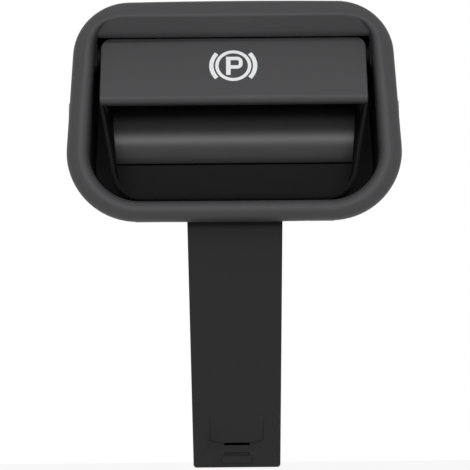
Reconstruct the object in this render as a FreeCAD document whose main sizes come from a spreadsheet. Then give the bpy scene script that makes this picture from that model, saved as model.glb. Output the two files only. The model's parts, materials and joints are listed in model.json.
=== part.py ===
import FreeCAD, Part
import math
import os
import Sketcher
from FreeCAD import Rotation, Vector

# Electric parking brake switch: a pull and push lever in a painted bezel, carried by a black
# moulded carrier with a long fixing tongue, with the switch mechanism and its plug behind.
# Frame: X to the right, Y to the back, Z up, in millimetres. The origin is the centre of the
# opening in the fascia, on the plane where the back of the bezel rests.

doc = FreeCAD.newDocument("ParkingBrakeSwitch")
sheet = doc.addObject("Spreadsheet::Sheet", "Sizes")


# Sizes that keep their value and the spreadsheet expression they come from

def value_of(size):
    return size.value if isinstance(size, Size) else float(size)


def text_of(size):
    return size.text if isinstance(size, Size) else f"{float(size):g}"


class Size:
    def __init__(self, value, text):
        self.value = value
        self.text = text

    def __add__(self, other):
        return Size(self.value + value_of(other), f"({self.text} + {text_of(other)})")

    def __radd__(self, other):
        return Size(value_of(other) + self.value, f"({text_of(other)} + {self.text})")

    def __sub__(self, other):
        return Size(self.value - value_of(other), f"({self.text} - {text_of(other)})")

    def __rsub__(self, other):
        return Size(value_of(other) - self.value, f"({text_of(other)} - {self.text})")

    def __mul__(self, other):
        return Size(self.value * value_of(other), f"({self.text} * {text_of(other)})")

    def __rmul__(self, other):
        return Size(value_of(other) * self.value, f"({text_of(other)} * {self.text})")

    def __truediv__(self, other):
        return Size(self.value / value_of(other), f"({self.text} / {text_of(other)})")

    def __rtruediv__(self, other):
        return Size(value_of(other) / self.value, f"({text_of(other)} / {self.text})")

    def __neg__(self):
        return Size(-self.value, f"(0 - {self.text})")


def sine(angle):
    return Size(math.sin(math.radians(angle.value)), f"sin({angle.text})")


def cosine(angle):
    return Size(math.cos(math.radians(angle.value)), f"cos({angle.text})")


def tangent(angle):
    return Size(math.tan(math.radians(angle.value)), f"tan({angle.text})")


rows = 0


def write_row(alias, cell, note):
    global rows
    rows += 1
    sheet.set(f"A{rows}", note)
    sheet.set(f"B{rows}", cell)
    sheet.setAlias(f"B{rows}", alias)


def size(alias, value, note):
    write_row(alias, f"{value:g}", note)
    return Size(float(value), f"Sizes.{alias}")


def derived(alias, result, note):
    write_row(alias, "=" + result.text.replace("Sizes.", ""), note)
    return Size(result.value, f"Sizes.{alias}")


# Helpers that bind sketches and features to the sheet

def bind(thing, path, amount):
    if isinstance(amount, Size):
        thing.setExpression(path, amount.text)


def set_length(thing, name, amount):
    setattr(thing, name, value_of(amount))
    bind(thing, name, amount)


def set_base(thing, x, y, z):
    thing.Placement.Base = Vector(value_of(x), value_of(y), value_of(z))
    bind(thing, "Placement.Base.x", x)
    bind(thing, "Placement.Base.y", y)
    bind(thing, "Placement.Base.z", z)


def draw_outline(sketch, corners):
    # Corners run round the outline as (across, up) or (across, up, radius)
    count = len(corners)
    points = [Vector(value_of(c[0]), value_of(c[1]), 0) for c in corners]
    arrive = []
    leave = []
    arcs = {}
    for i in range(count):
        radius = value_of(corners[i][2]) if len(corners[i]) > 2 else 0
        if not radius:
            arrive.append(points[i])
            leave.append(points[i])
            continue
        back = (points[i - 1] - points[i]).normalize()
        ahead = (points[(i + 1) % count] - points[i]).normalize()
        half = back.getAngle(ahead) / 2
        run = radius / math.tan(half)
        centre = points[i] + (back + ahead).normalize() * (radius / math.sin(half))
        arrive.append(points[i] + back * run)
        leave.append(points[i] + ahead * run)
        anticlockwise = back.cross(ahead).z < 0
        ends = (arrive[i], leave[i]) if anticlockwise else (leave[i], arrive[i])
        start, stop = [math.atan2(p.y - centre.y, p.x - centre.x) for p in ends]
        if stop < start:
            stop += 2 * math.pi
        ring = Part.Circle(centre, Vector(0, 0, 1), radius)
        arcs[i] = (Part.ArcOfCircle(ring, start, stop), anticlockwise)
    lines = [
        sketch.addGeometry(Part.LineSegment(leave[i], arrive[(i + 1) % count]), False)
        for i in range(count)
    ]
    rules = []
    named = []

    def rule(*parts):
        rules.append(Sketcher.Constraint(*parts))

    def place(geometry, end, corner):
        for kind, amount in (("DistanceX", corner[0]), ("DistanceY", corner[1])):
            named.append((len(rules), amount))
            rule(kind, -1, 1, geometry, end, value_of(amount))

    for i in range(count):
        before = lines[i - 1]
        after = lines[i]
        if i not in arcs:
            rule("Coincident", before, 2, after, 1)
            place(after, 1, corners[i])
            continue
        curve, anticlockwise = arcs[i]
        arc = sketch.addGeometry(curve, False)
        rule("Tangent", before, 2, arc, 1 if anticlockwise else 2)
        rule("Tangent", after, 1, arc, 2 if anticlockwise else 1)
        named.append((len(rules), corners[i][2]))
        rule("Radius", arc, value_of(corners[i][2]))
        corner = sketch.addGeometry(Part.Point(points[i]), True)
        rule("PointOnObject", corner, 1, before)
        rule("PointOnObject", corner, 1, after)
        place(corner, 1, corners[i])
    first = sketch.ConstraintCount
    sketch.addConstraint(rules)
    for index, amount in named:
        bind(sketch, f"Constraints[{first + index}]", amount)


AXIS_TURN = {
    "X": Rotation(Vector(0, 1, 0), 90),
    "Y": Rotation(Vector(1, 0, 0), -90),
    "Z": Rotation(),
}


class Piece:
    # A sub-part as a PartDesign body; front sketches look along Y, side sketches along X
    def __init__(self, name):
        self.name = name
        self.body = doc.addObject("PartDesign::Body", name)
        self.body.Label = name

    def sketch(self, role, offset):
        plane = next(f for f in self.body.Origin.OriginFeatures if f.Role == role)
        sketch = self.body.newObject("Sketcher::SketchObject", f"{self.name}_sketch")
        sketch.AttachmentSupport = [(plane, "")]
        sketch.MapMode = "FlatFace"
        sketch.AttachmentOffset.Base = Vector(0, 0, value_of(offset))
        bind(sketch, "AttachmentOffset.Base.z", offset)
        return sketch

    def front_outline(self, y, *outlines):
        sketch = self.sketch("XZ_Plane", -y)
        for corners in outlines:
            draw_outline(sketch, corners)
        return sketch

    def side_outline(self, x, *outlines):
        sketch = self.sketch("YZ_Plane", x)
        for corners in outlines:
            draw_outline(sketch, corners)
        return sketch

    def extrude(self, kind, sketch, length, reverse):
        feature = self.body.newObject(kind, f"{self.name}_{kind[12:].lower()}")
        feature.Profile = sketch
        feature.Reversed = reverse
        set_length(feature, "Length", length)
        return feature

    def front_pad(self, y_front, y_back, *outlines):
        sketch = self.front_outline(y_front, *outlines)
        return self.extrude("PartDesign::Pad", sketch, y_back - y_front, True)

    def front_pocket(self, y_front, y_back, *outlines):
        sketch = self.front_outline(y_front, *outlines)
        return self.extrude("PartDesign::Pocket", sketch, y_back - y_front, False)

    def side_pad(self, x_left, x_right, *outlines):
        sketch = self.side_outline(x_left, *outlines)
        return self.extrude("PartDesign::Pad", sketch, x_right - x_left, False)

    def side_pocket(self, x_left, x_right, *outlines):
        sketch = self.side_outline(x_left, *outlines)
        return self.extrude("PartDesign::Pocket", sketch, x_right - x_left, True)

    def block(self, kind, x, y, z):
        # A block between its lowest and highest x, y and z
        feature = self.body.newObject(f"PartDesign::{kind}Box", f"{self.name}_box")
        set_base(feature, x[0], y[0], z[0])
        set_length(feature, "Length", x[1] - x[0])
        set_length(feature, "Width", y[1] - y[0])
        set_length(feature, "Height", z[1] - z[0])
        return feature

    def add_box(self, x, y, z):
        return self.block("Additive", x, y, z)

    def cut_box(self, x, y, z):
        return self.block("Subtractive", x, y, z)

    def round(self, kind, axis, base, radius, length):
        # A cylinder that starts at base and runs along the named axis
        feature = self.body.newObject(f"PartDesign::{kind}Cylinder", f"{self.name}_round")
        feature.Placement.Rotation = AXIS_TURN[axis]
        set_base(feature, *base)
        set_length(feature, "Radius", radius)
        set_length(feature, "Height", length)
        return feature

    def add_round(self, axis, base, radius, length):
        return self.round("Additive", axis, base, radius, length)

    def cut_round(self, axis, base, radius, length):
        return self.round("Subtractive", axis, base, radius, length)

    def edge_names(self, wanted):
        doc.recompute()
        return [f"Edge{i}" for i, edge in enumerate(self.body.Shape.Edges, 1) if wanted(edge)]

    def round_edges(self, radius, wanted):
        names = self.edge_names(wanted)
        base = self.body.Tip
        feature = self.body.newObject("PartDesign::Fillet", f"{self.name}_fillet")
        feature.Base = (base, names)
        set_length(feature, "Radius", radius)
        return feature

    def slope_edges(self, width, rise, wanted):
        names = self.edge_names(wanted)
        base = self.body.Tip
        feature = self.body.newObject("PartDesign::Chamfer", f"{self.name}_slope")
        feature.Base = (base, names)
        feature.ChamferType = "Two distances"
        feature.FlipDirection = True
        set_length(feature, "Size", width)
        set_length(feature, "Size2", rise)
        return feature


def cylinder(name, axis, base, radius, length):
    thing = doc.addObject("Part::Cylinder", name)
    thing.Placement.Rotation = AXIS_TURN[axis]
    set_base(thing, *base)
    set_length(thing, "Radius", radius)
    set_length(thing, "Height", length)
    return thing


def box(name, x, y, z):
    thing = doc.addObject("Part::Box", name)
    set_base(thing, x[0], y[0], z[0])
    set_length(thing, "Length", x[1] - x[0])
    set_length(thing, "Width", y[1] - y[0])
    set_length(thing, "Height", z[1] - z[0])
    return thing


def join(kind, name, *things):
    thing = doc.addObject(kind, name)
    thing.Shapes = list(things)
    return thing


def group(name, things):
    thing = doc.addObject("Part::Compound", name)
    thing.Links = list(things)
    return thing


sub_parts = {}


def keep(name, thing):
    thing.Label = name
    sub_parts[name] = thing
    return thing


def flat_along_y(y):
    # Picks the edges that lie in the plane at this y
    def wanted(edge):
        box = edge.BoundBox
        return abs(box.YMin - value_of(y)) < 1e-4 and abs(box.YMax - value_of(y)) < 1e-4
    return wanted


# Driving sizes: bezel

bezel_rise = size("bezelRise", 22.7, "top edge of the bezel above the origin")
bezel_drop = size("bezelDrop", 21.6, "bottom edge of the bezel below the origin")
bezel_half = size("bezelHalfWidth", 32.55, "half width of the bezel at the origin's height")
bezel_lean = size("bezelLean", 3.4, "degrees that the bezel's sides lean outward going down")
bezel_top_radius = size("bezelTopRadius", 11, "corner radius at the bezel's top")
bezel_bottom_radius = size("bezelBottomRadius", 13.7, "corner radius at the bezel's bottom")
rim_height = size("rimHeight", 2.5, "height of the bezel's outer edge over the fascia")
rim_round = size("rimRound", 2, "rounding of the bezel's outer edge")
slope_rise = size("slopeRise", 2.3, "rise of the flange's slope")
slope_width = size("slopeWidth", 4.4, "width of the flange's slope")
flange_top = size("flangeTop", 3.6, "width of the sloping flange at the top")
flange_bottom = size("flangeBottom", 3.8, "width of the sloping flange at the bottom")
flange_side = size("flangeSide", 4.3, "width of the sloping flange at the sides")
lip_lean = size("lipLean", 2.75, "degrees that the recess's sides lean outward going down")
lip_top_radius = size("lipTopRadius", 5.5, "corner radius of the recess at the top")
lip_bottom_radius = size("lipBottomRadius", 10, "corner radius of the recess at the bottom")
tub_wall = size("tubWall", 1.4, "wall of the bezel's collar and of the carrier's tub")
collar_depth = size("collarDepth", 1, "depth of the bezel's collar behind the fascia plane")
fit_gap = size("fitGap", 0.05, "clearance between moulded pieces that seat on each other")
run_gap = size("runGap", 0.35, "clearance round the lever")
over = size("over", 1, "how far a cutting shape runs past what it cuts")

lip_rise = derived("lipRise", bezel_rise - flange_top, "top of the recess")
lip_drop = derived("lipDrop", bezel_drop - flange_bottom, "bottom of the recess")
lip_half = derived("lipHalfWidth", bezel_half - flange_side, "half width of the recess")
crest_height = derived("crestHeight", rim_height + slope_rise, "bezel's full height")
ledge_front = derived("ledgeFront", rim_height + flange_top * slope_rise / slope_width,
                      "lip over the ledge, before the fascia plane")


def leaning_outline(rise, drop, half, lean, top_radius, bottom_radius, grow):
    top = rise + grow
    bottom = drop + grow
    side = half + grow / cosine(lean)
    top_half = side - top * tangent(lean)
    bottom_half = side + bottom * tangent(lean)
    return [
        (-top_half, top, top_radius + grow),
        (top_half, top, top_radius + grow),
        (bottom_half, -bottom, bottom_radius + grow),
        (-bottom_half, -bottom, bottom_radius + grow),
    ]


def bezel_outline():
    return leaning_outline(bezel_rise, bezel_drop, bezel_half, bezel_lean,
                           bezel_top_radius, bezel_bottom_radius, 0)


def recess_outline(grow=0):
    return leaning_outline(lip_rise, lip_drop, lip_half, lip_lean,
                           lip_top_radius, lip_bottom_radius, grow)


def recess_half_at(z):
    return lip_half - z * tangent(lip_lean)


# Driving sizes: lever

plate_top_gap = size("plateTopGap", 3.55, "lever's plate under the recess's top")
plate_top = derived("plateTop", lip_rise - plate_top_gap, "top edge of the lever's plate")
pivot_inset = size("pivotInset", 2.95, "lever pivot under the plate's top edge")
pivot_height = derived("pivotHeight", plate_top - pivot_inset, "lever pivot over the origin")
plate_bottom = size("plateBottom", 1.56, "underside of the lever's plate")
plate_side_gap = size("plateSideGap", 1.85, "lever's plate from the recess's side")
plate_half = derived("plateHalfWidth", lip_half - plate_side_gap, "half width of the lever's plate")
plate_radius = size("plateRadius", 3, "upper corner radius of the plate")
plate_tilt = size("plateTilt", 13.4, "degrees that the plate's lower edge stands forward")
plate_reach = size("plateReach", 3.52, "how far the plate's lower edge stands before the fascia plane")
plate_roll = size("plateRoll", 1.3, "rounding of the plate's top edge")
plate_lip_round = size("plateLipRound", 1.3, "rounding of the plate's lower edge")

ledge_back = size("ledgeBack", 0.4, "how far before the fascia plane the ledge's slope ends")
ledge_gap = size("ledgeGap", 0.2, "gap between the ledge's edge and the plate")
ledge_relief = size("ledgeRelief", 1.15,
                    "rise of the ledge's underside behind its edge, for the swinging plate")

hood_wall = size("hoodWall", 1.5, "wall of the plate")
hood_top_wall = size("hoodTopWall", 1, "wall along the hood's top")
hood_floor = size("hoodFloor", 1, "wall along the hood's bottom")
cheek_wall = size("cheekWall", 0.7, "wall of the hood's cheeks")
cheek_set = size("cheekSet", 0.05, "cheeks set in under the plate's sides")
cheek_half = derived("cheekHalfWidth", plate_half - cheek_set,
                     "half width over the cheeks under the plate")
hood_drop = size("hoodDrop", 16.7, "bottom of the hood below the origin")
hood_narrowing = size("hoodNarrowing", 2.95, "how much narrower each side of the hood is at the bottom")
hood_low_half = derived("hoodLowHalfWidth", plate_half - hood_narrowing,
                        "half width over the cheeks at the hood's bottom")
hood_radius = size("hoodRadius", 6, "lower corner radius of the hood")
cheek_high_front = size("cheekHighFront", 2.2, "cheek edge before the fascia plane, under the plate")
cheek_low_front = size("cheekLowFront", 2.5, "cheek edge behind the fascia plane, at the bottom")
hood_back = size("hoodBack", 5.5, "rear edge of the hood's top wall")
plate_lip_depth = size("plateLipDepth", 2.4, "depth of the bead along the plate's lower edge")
plate_lip_height = size("plateLipHeight", 1.2, "height of the bead along the plate's lower edge")
panel_front = size("panelFront", 7.6, "front face of the hood's lower panel")
panel_wall = size("panelWall", 1.2, "wall of the hood's lower panel")
drum_drop = size("drumDrop", 8.4, "lower edge of the grip roll below the origin")
drum_radius = size("drumRadius", 8.5, "radius of the grip roll")
drum_back = size("drumBack", 14.5, "axis of the grip roll behind the fascia plane")
drum_fall = size("drumFall", 3.4, "axis of the grip roll below the origin")
drum_wall = size("drumWall", 1.6, "wall of the grip roll")
drum_end_wall = size("drumEndWall", 1.65, "wall at the grip roll's ends")
drum_core_half = derived("drumCoreHalf", hood_low_half - drum_end_wall,
                         "half width of the hollow inside the grip roll")
drum_top_inset = size("drumTopInset", 3.2, "upper edge of the grip roll's face under the ceiling")
drum_end_gap = size("drumEndGap", 0.15,
                    "gap between the grip roll's ends and the cheeks at its lower edge")
drum_end_lean = size("drumEndLean", 4, "degrees that the grip roll's ends lean outward going up")
ceiling_inset = size("ceilingInset", 5.4, "ceiling of the finger pocket under the pivot")
ceiling_height = derived("ceilingHeight", pivot_height - ceiling_inset,
                         "ceiling of the finger pocket over the origin")
drum_top = derived("drumTop", ceiling_height - drum_top_inset, "upper edge of the grip roll's face")
ceiling_wall = size("ceilingWall", 1.6, "wall over the finger pocket")
web_front = size("webFront", 10.3, "front of the wall that carries the grip roll")
web_wall = size("webWall", 1.6, "wall that carries the grip roll")

pivot_back = size("pivotBack", 3, "lever pivot behind the fascia plane")
pin_radius = size("pinRadius", 1, "radius of the pivot pin")
pin_gap = size("pinGap", 0.03, "radial clearance on the pivot pin")
bush_flange = size("bushFlange", 0.6, "thickness of the pivot bush's flange")
bush_flange_radius = size("bushFlangeRadius", 1.9, "radius of the pivot bush's flange")
bush_wall = size("bushWall", 0.5, "wall of the pivot bush")
bush_side_gap = size("bushSideGap", 0.2, "gap between the hood and the pivot bush")
pull_angle = size("pullAngle", 12, "degrees that the lever pulls forward")
push_angle = size("pushAngle", 7, "degrees that the lever pushes back")

tub_floor = size("tubFloor", 13.5, "inner face of the carrier's rear wall")
floor_wall = size("floorWall", 1.5, "rear wall of the carrier")
tongue_front = size("tongueFront", 3, "front face of the fixing tongue")
tongue_wall = size("tongueWall", 2.4, "thickness of the fixing tongue")
tongue_drop = size("tongueDrop", 69.2, "end of the fixing tongue below the origin")
tongue_top_half = size("tongueTopHalf", 9.5, "half width of the tongue at its root")
tongue_end_half = size("tongueEndHalf", 8.4, "half width of the tongue at its end")
tongue_corner = size("tongueCorner", 0.6, "corner radius at the tongue's end")
tongue_rib_place = size("tongueRibPlace", 6.2, "tongue ribs from the middle plane")
tongue_rib_wall = size("tongueRibWall", 1.6, "thickness of the tongue's ribs")

arm_inset = size("armInset", 14.4, "drive arms in from the plate's sides")
arm_place = derived("armPlace", plate_half - arm_inset, "drive arms from the middle plane")
arm_width = size("armWidth", 3.2, "width of a drive arm")
arm_sink = size("armSink", 1, "how far a drive arm is rooted in the lever's head")
arm_root = size("armRoot", 2, "where a drive arm's gusset leaves the arm, behind the head")
arm_tip_radius = size("armTipRadius", 1.5, "rounding of the drive arm's tip")
arm_reach = size("armReach", 17, "drive arm's tip from the pivot")
slider_gap = size("sliderGap", 0.15, "sliding clearance of the sliders")

guide_half = size("guideHalfWidth", 4.8, "half width of the light guide behind the symbol")
guide_low_inset = size("guideLowInset", 5.1, "lower edge of the light guide's head under the pivot")
guide_low = derived("guideLow", pivot_height - guide_low_inset, "lower edge of the light guide's head")
guide_high_rise = size("guideHighRise", 0.6, "upper edge of the light guide's head over the pivot")
guide_high = derived("guideHigh", pivot_height + guide_high_rise, "upper edge of the light guide's head")
guide_wall = size("guideWall", 1.05, "thickness of the light guide's head")
guide_bar_half = size("guideBarHalf", 1.5, "half width of the light guide's bar")
guide_bar_height = size("guideBarHeight", 1.8, "height of the light guide's bar")
guide_bar_inset = size("guideBarInset", 1.9, "top of the light guide's bar under the pivot")
guide_bar_high = derived("guideBarHigh", pivot_height - guide_bar_inset, "top of the light guide's bar")
guide_bar_low = derived("guideBarLow", guide_bar_high - guide_bar_height,
                        "underside of the light guide's bar")


def plate_front_at(z):
    return (z - plate_bottom) * tangent(plate_tilt) - plate_reach


def plate_back_at(z):
    return plate_front_at(z) + hood_wall / cosine(plate_tilt)


def plate_skin_at(z, depth):
    # A face parallel to the plate's back and this far behind it
    return plate_back_at(z) + depth / cosine(plate_tilt)


panel_back = derived("panelBack", panel_front + panel_wall, "rear face of the lower panel")
panel_top = derived("panelTop", drum_drop + fit_gap * 4, "upper edge of the lower panel, downward")
hood_inside = derived("hoodInside", plate_top - hood_top_wall, "inside of the hood's top wall")
cheek_slope = derived("cheekSlope", (cheek_half - hood_low_half) / (hood_drop + plate_bottom),
                      "how much the cheeks close in for each millimetre down")
tub_back = derived("tubBack", tub_floor + floor_wall, "rear face of the carrier's tub")
arm_tip = derived("armTip", pivot_back + arm_reach, "drive arm's tip behind the fascia plane")
pin_boss = derived("pinBoss", plate_half + bush_side_gap + bush_flange,
                   "inner face of the carrier's pivot bosses")


# Bezel

hook_top_inset = size("hookTopInset", 12.25, "upper snap hooks in from the recess's side")
hook_low_inset = size("hookLowInset", 10.75, "lower snap hooks in from the recess's side")
hook_top_place = derived("hookTopPlace", lip_half - hook_top_inset,
                         "upper snap hooks from the middle plane")
hook_low_place = derived("hookLowPlace", lip_half - hook_low_inset,
                         "lower snap hooks from the middle plane")
hook_width = size("hookWidth", 5, "width of a snap hook")
hook_wall = size("hookWall", 1, "thickness of a snap hook")
hook_gap = size("hookGap", 0.1, "clearance between a snap hook and the wall beside it")
hook_length = size("hookLength", 8, "length of a bezel snap hook")
hook_window = size("hookWindow", 3.4, "width of a snap hook's window")
hook_window_start = size("hookWindowStart", 4, "where a snap hook's window starts")
hook_window_length = size("hookWindowLength", 2.2, "length of a snap hook's window")
hook_lug = size("hookLug", 0.8, "how far a catch stands into its window")


def around(middle, width):
    return (middle - width / 2, middle + width / 2)


def make_bezel():
    bezel = Piece("bezel")
    plane = 0 * rim_height
    bezel.front_pad(-crest_height, plane, bezel_outline())
    bezel.slope_edges(slope_width, slope_rise, flat_along_y(-crest_height))
    bezel.round_edges(rim_round, flat_along_y(-rim_height))
    bezel.front_pad(plane, collar_depth, recess_outline(tub_wall))
    bezel.front_pocket(-crest_height - over, collar_depth, recess_outline())

    # The ledge slopes from the lip down to the edge over the lever's plate
    edge = plate_top + ledge_gap
    root_height = lip_rise + tub_wall / 2
    ledge = Piece("ledge_side_view")
    ledge.side_pad(-bezel_half, bezel_half, [
        (-ledge_front, lip_rise),
        (-ledge_back, edge),
        (collar_depth, edge + ledge_relief),
        (collar_depth, root_height),
        (-rim_height, root_height),
    ])
    mouth = Piece("ledge_front_view")
    mouth.front_pad(-crest_height, collar_depth, recess_outline())
    ledge_in_mouth = join("Part::MultiCommon", "ledge", ledge.body, mouth.body)

    for place, level, way in ((hook_top_place, lip_rise, 1), (hook_low_place, lip_drop, -1)):
        near = level + tub_wall + hook_gap
        heights = [way * near, way * (near + hook_wall)]
        z = sorted(heights, key=value_of)
        for side in (-1, 1):
            x = around(side * place, hook_width)
            bezel.add_box(x, (plane - fit_gap, hook_length), z)
            bezel.cut_box(around(side * place, hook_window),
                          (hook_window_start, hook_window_start + hook_window_length), z)
    return keep("bezel", join("Part::MultiFuse", "bezel_with_ledge", bezel.body, ledge_in_mouth))


# Lever: painted hood and black lever body

def hood_outline():
    return [
        (-plate_half, plate_top, plate_radius),
        (plate_half, plate_top, plate_radius),
        (plate_half, plate_bottom),
        (cheek_half, plate_bottom - fit_gap),
        (hood_low_half, -hood_drop, hood_radius),
        (-hood_low_half, -hood_drop, hood_radius),
        (-cheek_half, plate_bottom - fit_gap),
        (-plate_half, plate_bottom),
    ]


def hood_inner_outline():
    side = plate_half - cheek_wall
    low = hood_low_half - cheek_wall
    return [
        (-side, hood_inside, plate_radius - hood_top_wall),
        (side, hood_inside, plate_radius - hood_top_wall),
        (side, plate_bottom),
        (low, hood_floor - hood_drop, hood_radius - cheek_wall),
        (-low, hood_floor - hood_drop, hood_radius - cheek_wall),
        (-side, plate_bottom),
    ]


def make_lever_cap():
    front = -plate_reach - over
    rear = panel_back + over
    shell = Piece("hood_front_view")
    shell.front_pad(front, rear, hood_outline())
    side_view = Piece("hood_side_view")
    side_view.side_pad(-plate_half - over, plate_half + over, [
        (plate_front_at(plate_top), plate_top, plate_roll),
        (hood_back, plate_top),
        (panel_back, -panel_top),
        (panel_back, -hood_drop),
        (cheek_low_front, -hood_drop),
        (-cheek_high_front, plate_bottom),
        (-plate_reach, plate_bottom, plate_lip_round),
    ])
    hollow = Piece("hood_hollow_front_view")
    hollow.front_pad(front - over, rear + over, hood_inner_outline())
    hollow_side = Piece("hood_hollow_side_view")
    bead_back = plate_lip_depth - plate_reach
    bead_top = plate_bottom + plate_lip_height
    hollow_side.side_pad(-plate_half - over, plate_half + over, [
        (plate_back_at(hood_inside), hood_inside, plate_roll - hood_top_wall),
        (rear + over, hood_inside),
        (rear + over, -panel_top),
        (panel_front, -panel_top),
        (panel_front, hood_floor - hood_drop),
        (front - over, hood_floor - hood_drop),
        (front - over, plate_bottom),
        (bead_back, plate_bottom),
        (bead_back, bead_top),
        (plate_back_at(bead_top + plate_lip_height), bead_top + plate_lip_height),
    ])
    outside = join("Part::MultiCommon", "hood_outside", shell.body, side_view.body)
    inside = join("Part::MultiCommon", "hood_inside", hollow.body, hollow_side.body)
    pin_hole = cylinder("hood_pin_hole", "X", (-plate_half - over, pivot_back, pivot_height),
                        pin_radius + run_gap, 2 * (plate_half + over))
    removed = join("Part::MultiFuse", "hood_removed", inside, pin_hole)
    cap = doc.addObject("Part::Cut", "lever_cap")
    cap.Base = outside
    cap.Tool = removed
    return keep("lever_cap", cap)


def make_lever_body():
    body = Piece("lever_body")
    half = plate_half - cheek_wall - fit_gap
    web_back = web_front + web_wall
    head_top = hood_inside - fit_gap

    # The grip roll is a half shell: the front of a cylinder, hollow behind
    body.add_round("X", (-half, drum_back, -drum_fall), drum_radius, 2 * half)
    far = drum_back + drum_radius + over
    low = -drum_fall - drum_radius - over
    high = -drum_fall + drum_radius + over
    body.cut_box((-half - over, half + over), (web_back, far), (low, high))
    body.cut_box((-half - over, half + over), (panel_front - 2 * over, far), (low, -drum_drop))
    body.side_pad(-half, half, [
        (plate_skin_at(ceiling_height, fit_gap), ceiling_height),
        (plate_skin_at(head_top, fit_gap), head_top, plate_roll - hood_top_wall),
        (hood_back, head_top),
        (hood_back, ceiling_height + ceiling_wall),
        (web_back, ceiling_height + ceiling_wall),
        (web_back, drum_top - ceiling_wall),
        (web_front + web_wall / 2, drum_top - ceiling_wall),
        (web_front, drum_top),
        (web_front, ceiling_height),
    ])
    cut_back = plate_radius - hood_top_wall
    for side in (-1, 1):
        body.front_pocket(-plate_reach, hood_back + over, [
            (side * (half - cut_back), head_top),
            (side * (half - cut_back), head_top + over),
            (side * (half + over), head_top + over),
            (side * (half + over), head_top - cut_back),
            (side * half, head_top - cut_back),
        ])
    for start in (-drum_core_half, drum_wall / 2):
        body.cut_round("X", (start, drum_back, -drum_fall), drum_radius - drum_wall,
                       drum_core_half - drum_wall / 2)
    swing = (pivot_height + drum_drop) * sine(push_angle)
    low_back = tub_floor - swing - run_gap
    body.side_pocket(-half - over, half + over, [
        (web_back, drum_top),
        (low_back, -drum_drop - over),
        (web_back + over, -drum_drop - over),
        (web_back + over, drum_top),
    ])

    # The roll's ends clear the hood's cheeks, which close in further down
    end_low = -drum_drop - over
    end_high = ceiling_height
    narrow = cheek_half - cheek_wall - drum_end_gap - (plate_bottom + drum_drop) * cheek_slope
    wide = narrow + (end_high - end_low) * tangent(drum_end_lean)
    for side in (-1, 1):
        body.front_pocket(panel_front - 2 * over, web_back + over, [
            (side * narrow, end_low),
            (side * wide, end_high),
            (side * (wide + 2 * over), end_high),
            (side * (wide + 2 * over), end_low),
        ])

    # Two drive arms reach back to the switch sliders
    for side in (-1, 1):
        middle = side * arm_place
        x = around(middle, arm_width)
        body.add_box(x, (hood_back - arm_sink, arm_tip), around(pivot_height, 2 * arm_tip_radius))
        body.add_round("X", (x[0], arm_tip, pivot_height), arm_tip_radius, arm_width)
        gusset = around(middle, arm_width / 2)
        body.side_pad(gusset[0], gusset[1], [
            (hood_back - arm_sink, ceiling_height + ceiling_wall / 2),
            (web_back, ceiling_height + ceiling_wall / 2),
            (web_back, ceiling_height + ceiling_wall),
            (hood_back + arm_root, pivot_height),
            (hood_back - arm_sink, pivot_height),
        ])

    # Room for the light guide: a pocket behind the plate and a channel under the pin
    guide = guide_half + fit_gap
    body.side_pocket(-guide, guide, [
        (plate_skin_at(guide_low - fit_gap, -1), guide_low - fit_gap),
        (plate_skin_at(guide_high + fit_gap, -1), guide_high + fit_gap),
        (plate_skin_at(guide_high + fit_gap, guide_wall + 2 * fit_gap), guide_high + fit_gap),
        (plate_skin_at(guide_low - fit_gap, guide_wall + 2 * fit_gap), guide_low - fit_gap),
    ])
    bar = guide_bar_half + fit_gap
    body.cut_box((-bar, bar), (plate_back_at(guide_low), web_back + over),
                 (guide_bar_low - fit_gap, guide_bar_high + fit_gap))
    body.cut_round("X", (-half - over, pivot_back, pivot_height), pin_radius + pin_gap,
                   2 * (half + over))
    return keep("lever_body", body.body)


def make_lever_light_guide():
    guide = Piece("lever_light_guide")
    guide.side_pad(-guide_half, guide_half, [
        (plate_skin_at(guide_low, fit_gap), guide_low),
        (plate_skin_at(guide_high, fit_gap), guide_high),
        (plate_skin_at(guide_high, fit_gap + guide_wall), guide_high),
        (plate_skin_at(guide_low, fit_gap + guide_wall), guide_low),
    ])
    guide.add_box((-guide_bar_half, guide_bar_half),
                  (plate_skin_at(guide_bar_high, guide_wall / 2), web_front + web_wall),
                  (guide_bar_low, guide_bar_high))
    return keep("lever_light_guide", guide.body)


# Pivot

def make_pivot_pin():
    reach = recess_half_at(pivot_height) + tub_wall - fit_gap
    pin = Piece("pivot_pin")
    pin.add_round("X", (-reach, pivot_back, pivot_height), pin_radius, 2 * reach)
    return keep("pivot_pin", pin.body)


def make_pivot_bush(name, side):
    outer = recess_half_at(pivot_height) + tub_wall - fit_gap
    flange_face = pin_boss - bush_flange
    bush = Piece(name)
    radius = pin_radius + bush_wall
    if side > 0:
        bush.add_round("X", (flange_face, pivot_back, pivot_height), bush_flange_radius,
                       bush_flange)
        bush.add_round("X", (flange_face, pivot_back, pivot_height), radius,
                       outer - flange_face)
        start = flange_face - over
    else:
        bush.add_round("X", (-pin_boss, pivot_back, pivot_height), bush_flange_radius,
                       bush_flange)
        bush.add_round("X", (-outer, pivot_back, pivot_height), radius,
                       outer - flange_face)
        start = -outer - over
    bush.cut_round("X", (start, pivot_back, pivot_height), pin_radius + pin_gap / 2,
                   outer - flange_face + 2 * over)
    return keep(name, bush.body)


# Carrier: tub, fixing tongue, bosses and clip seats in one black moulding

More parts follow.
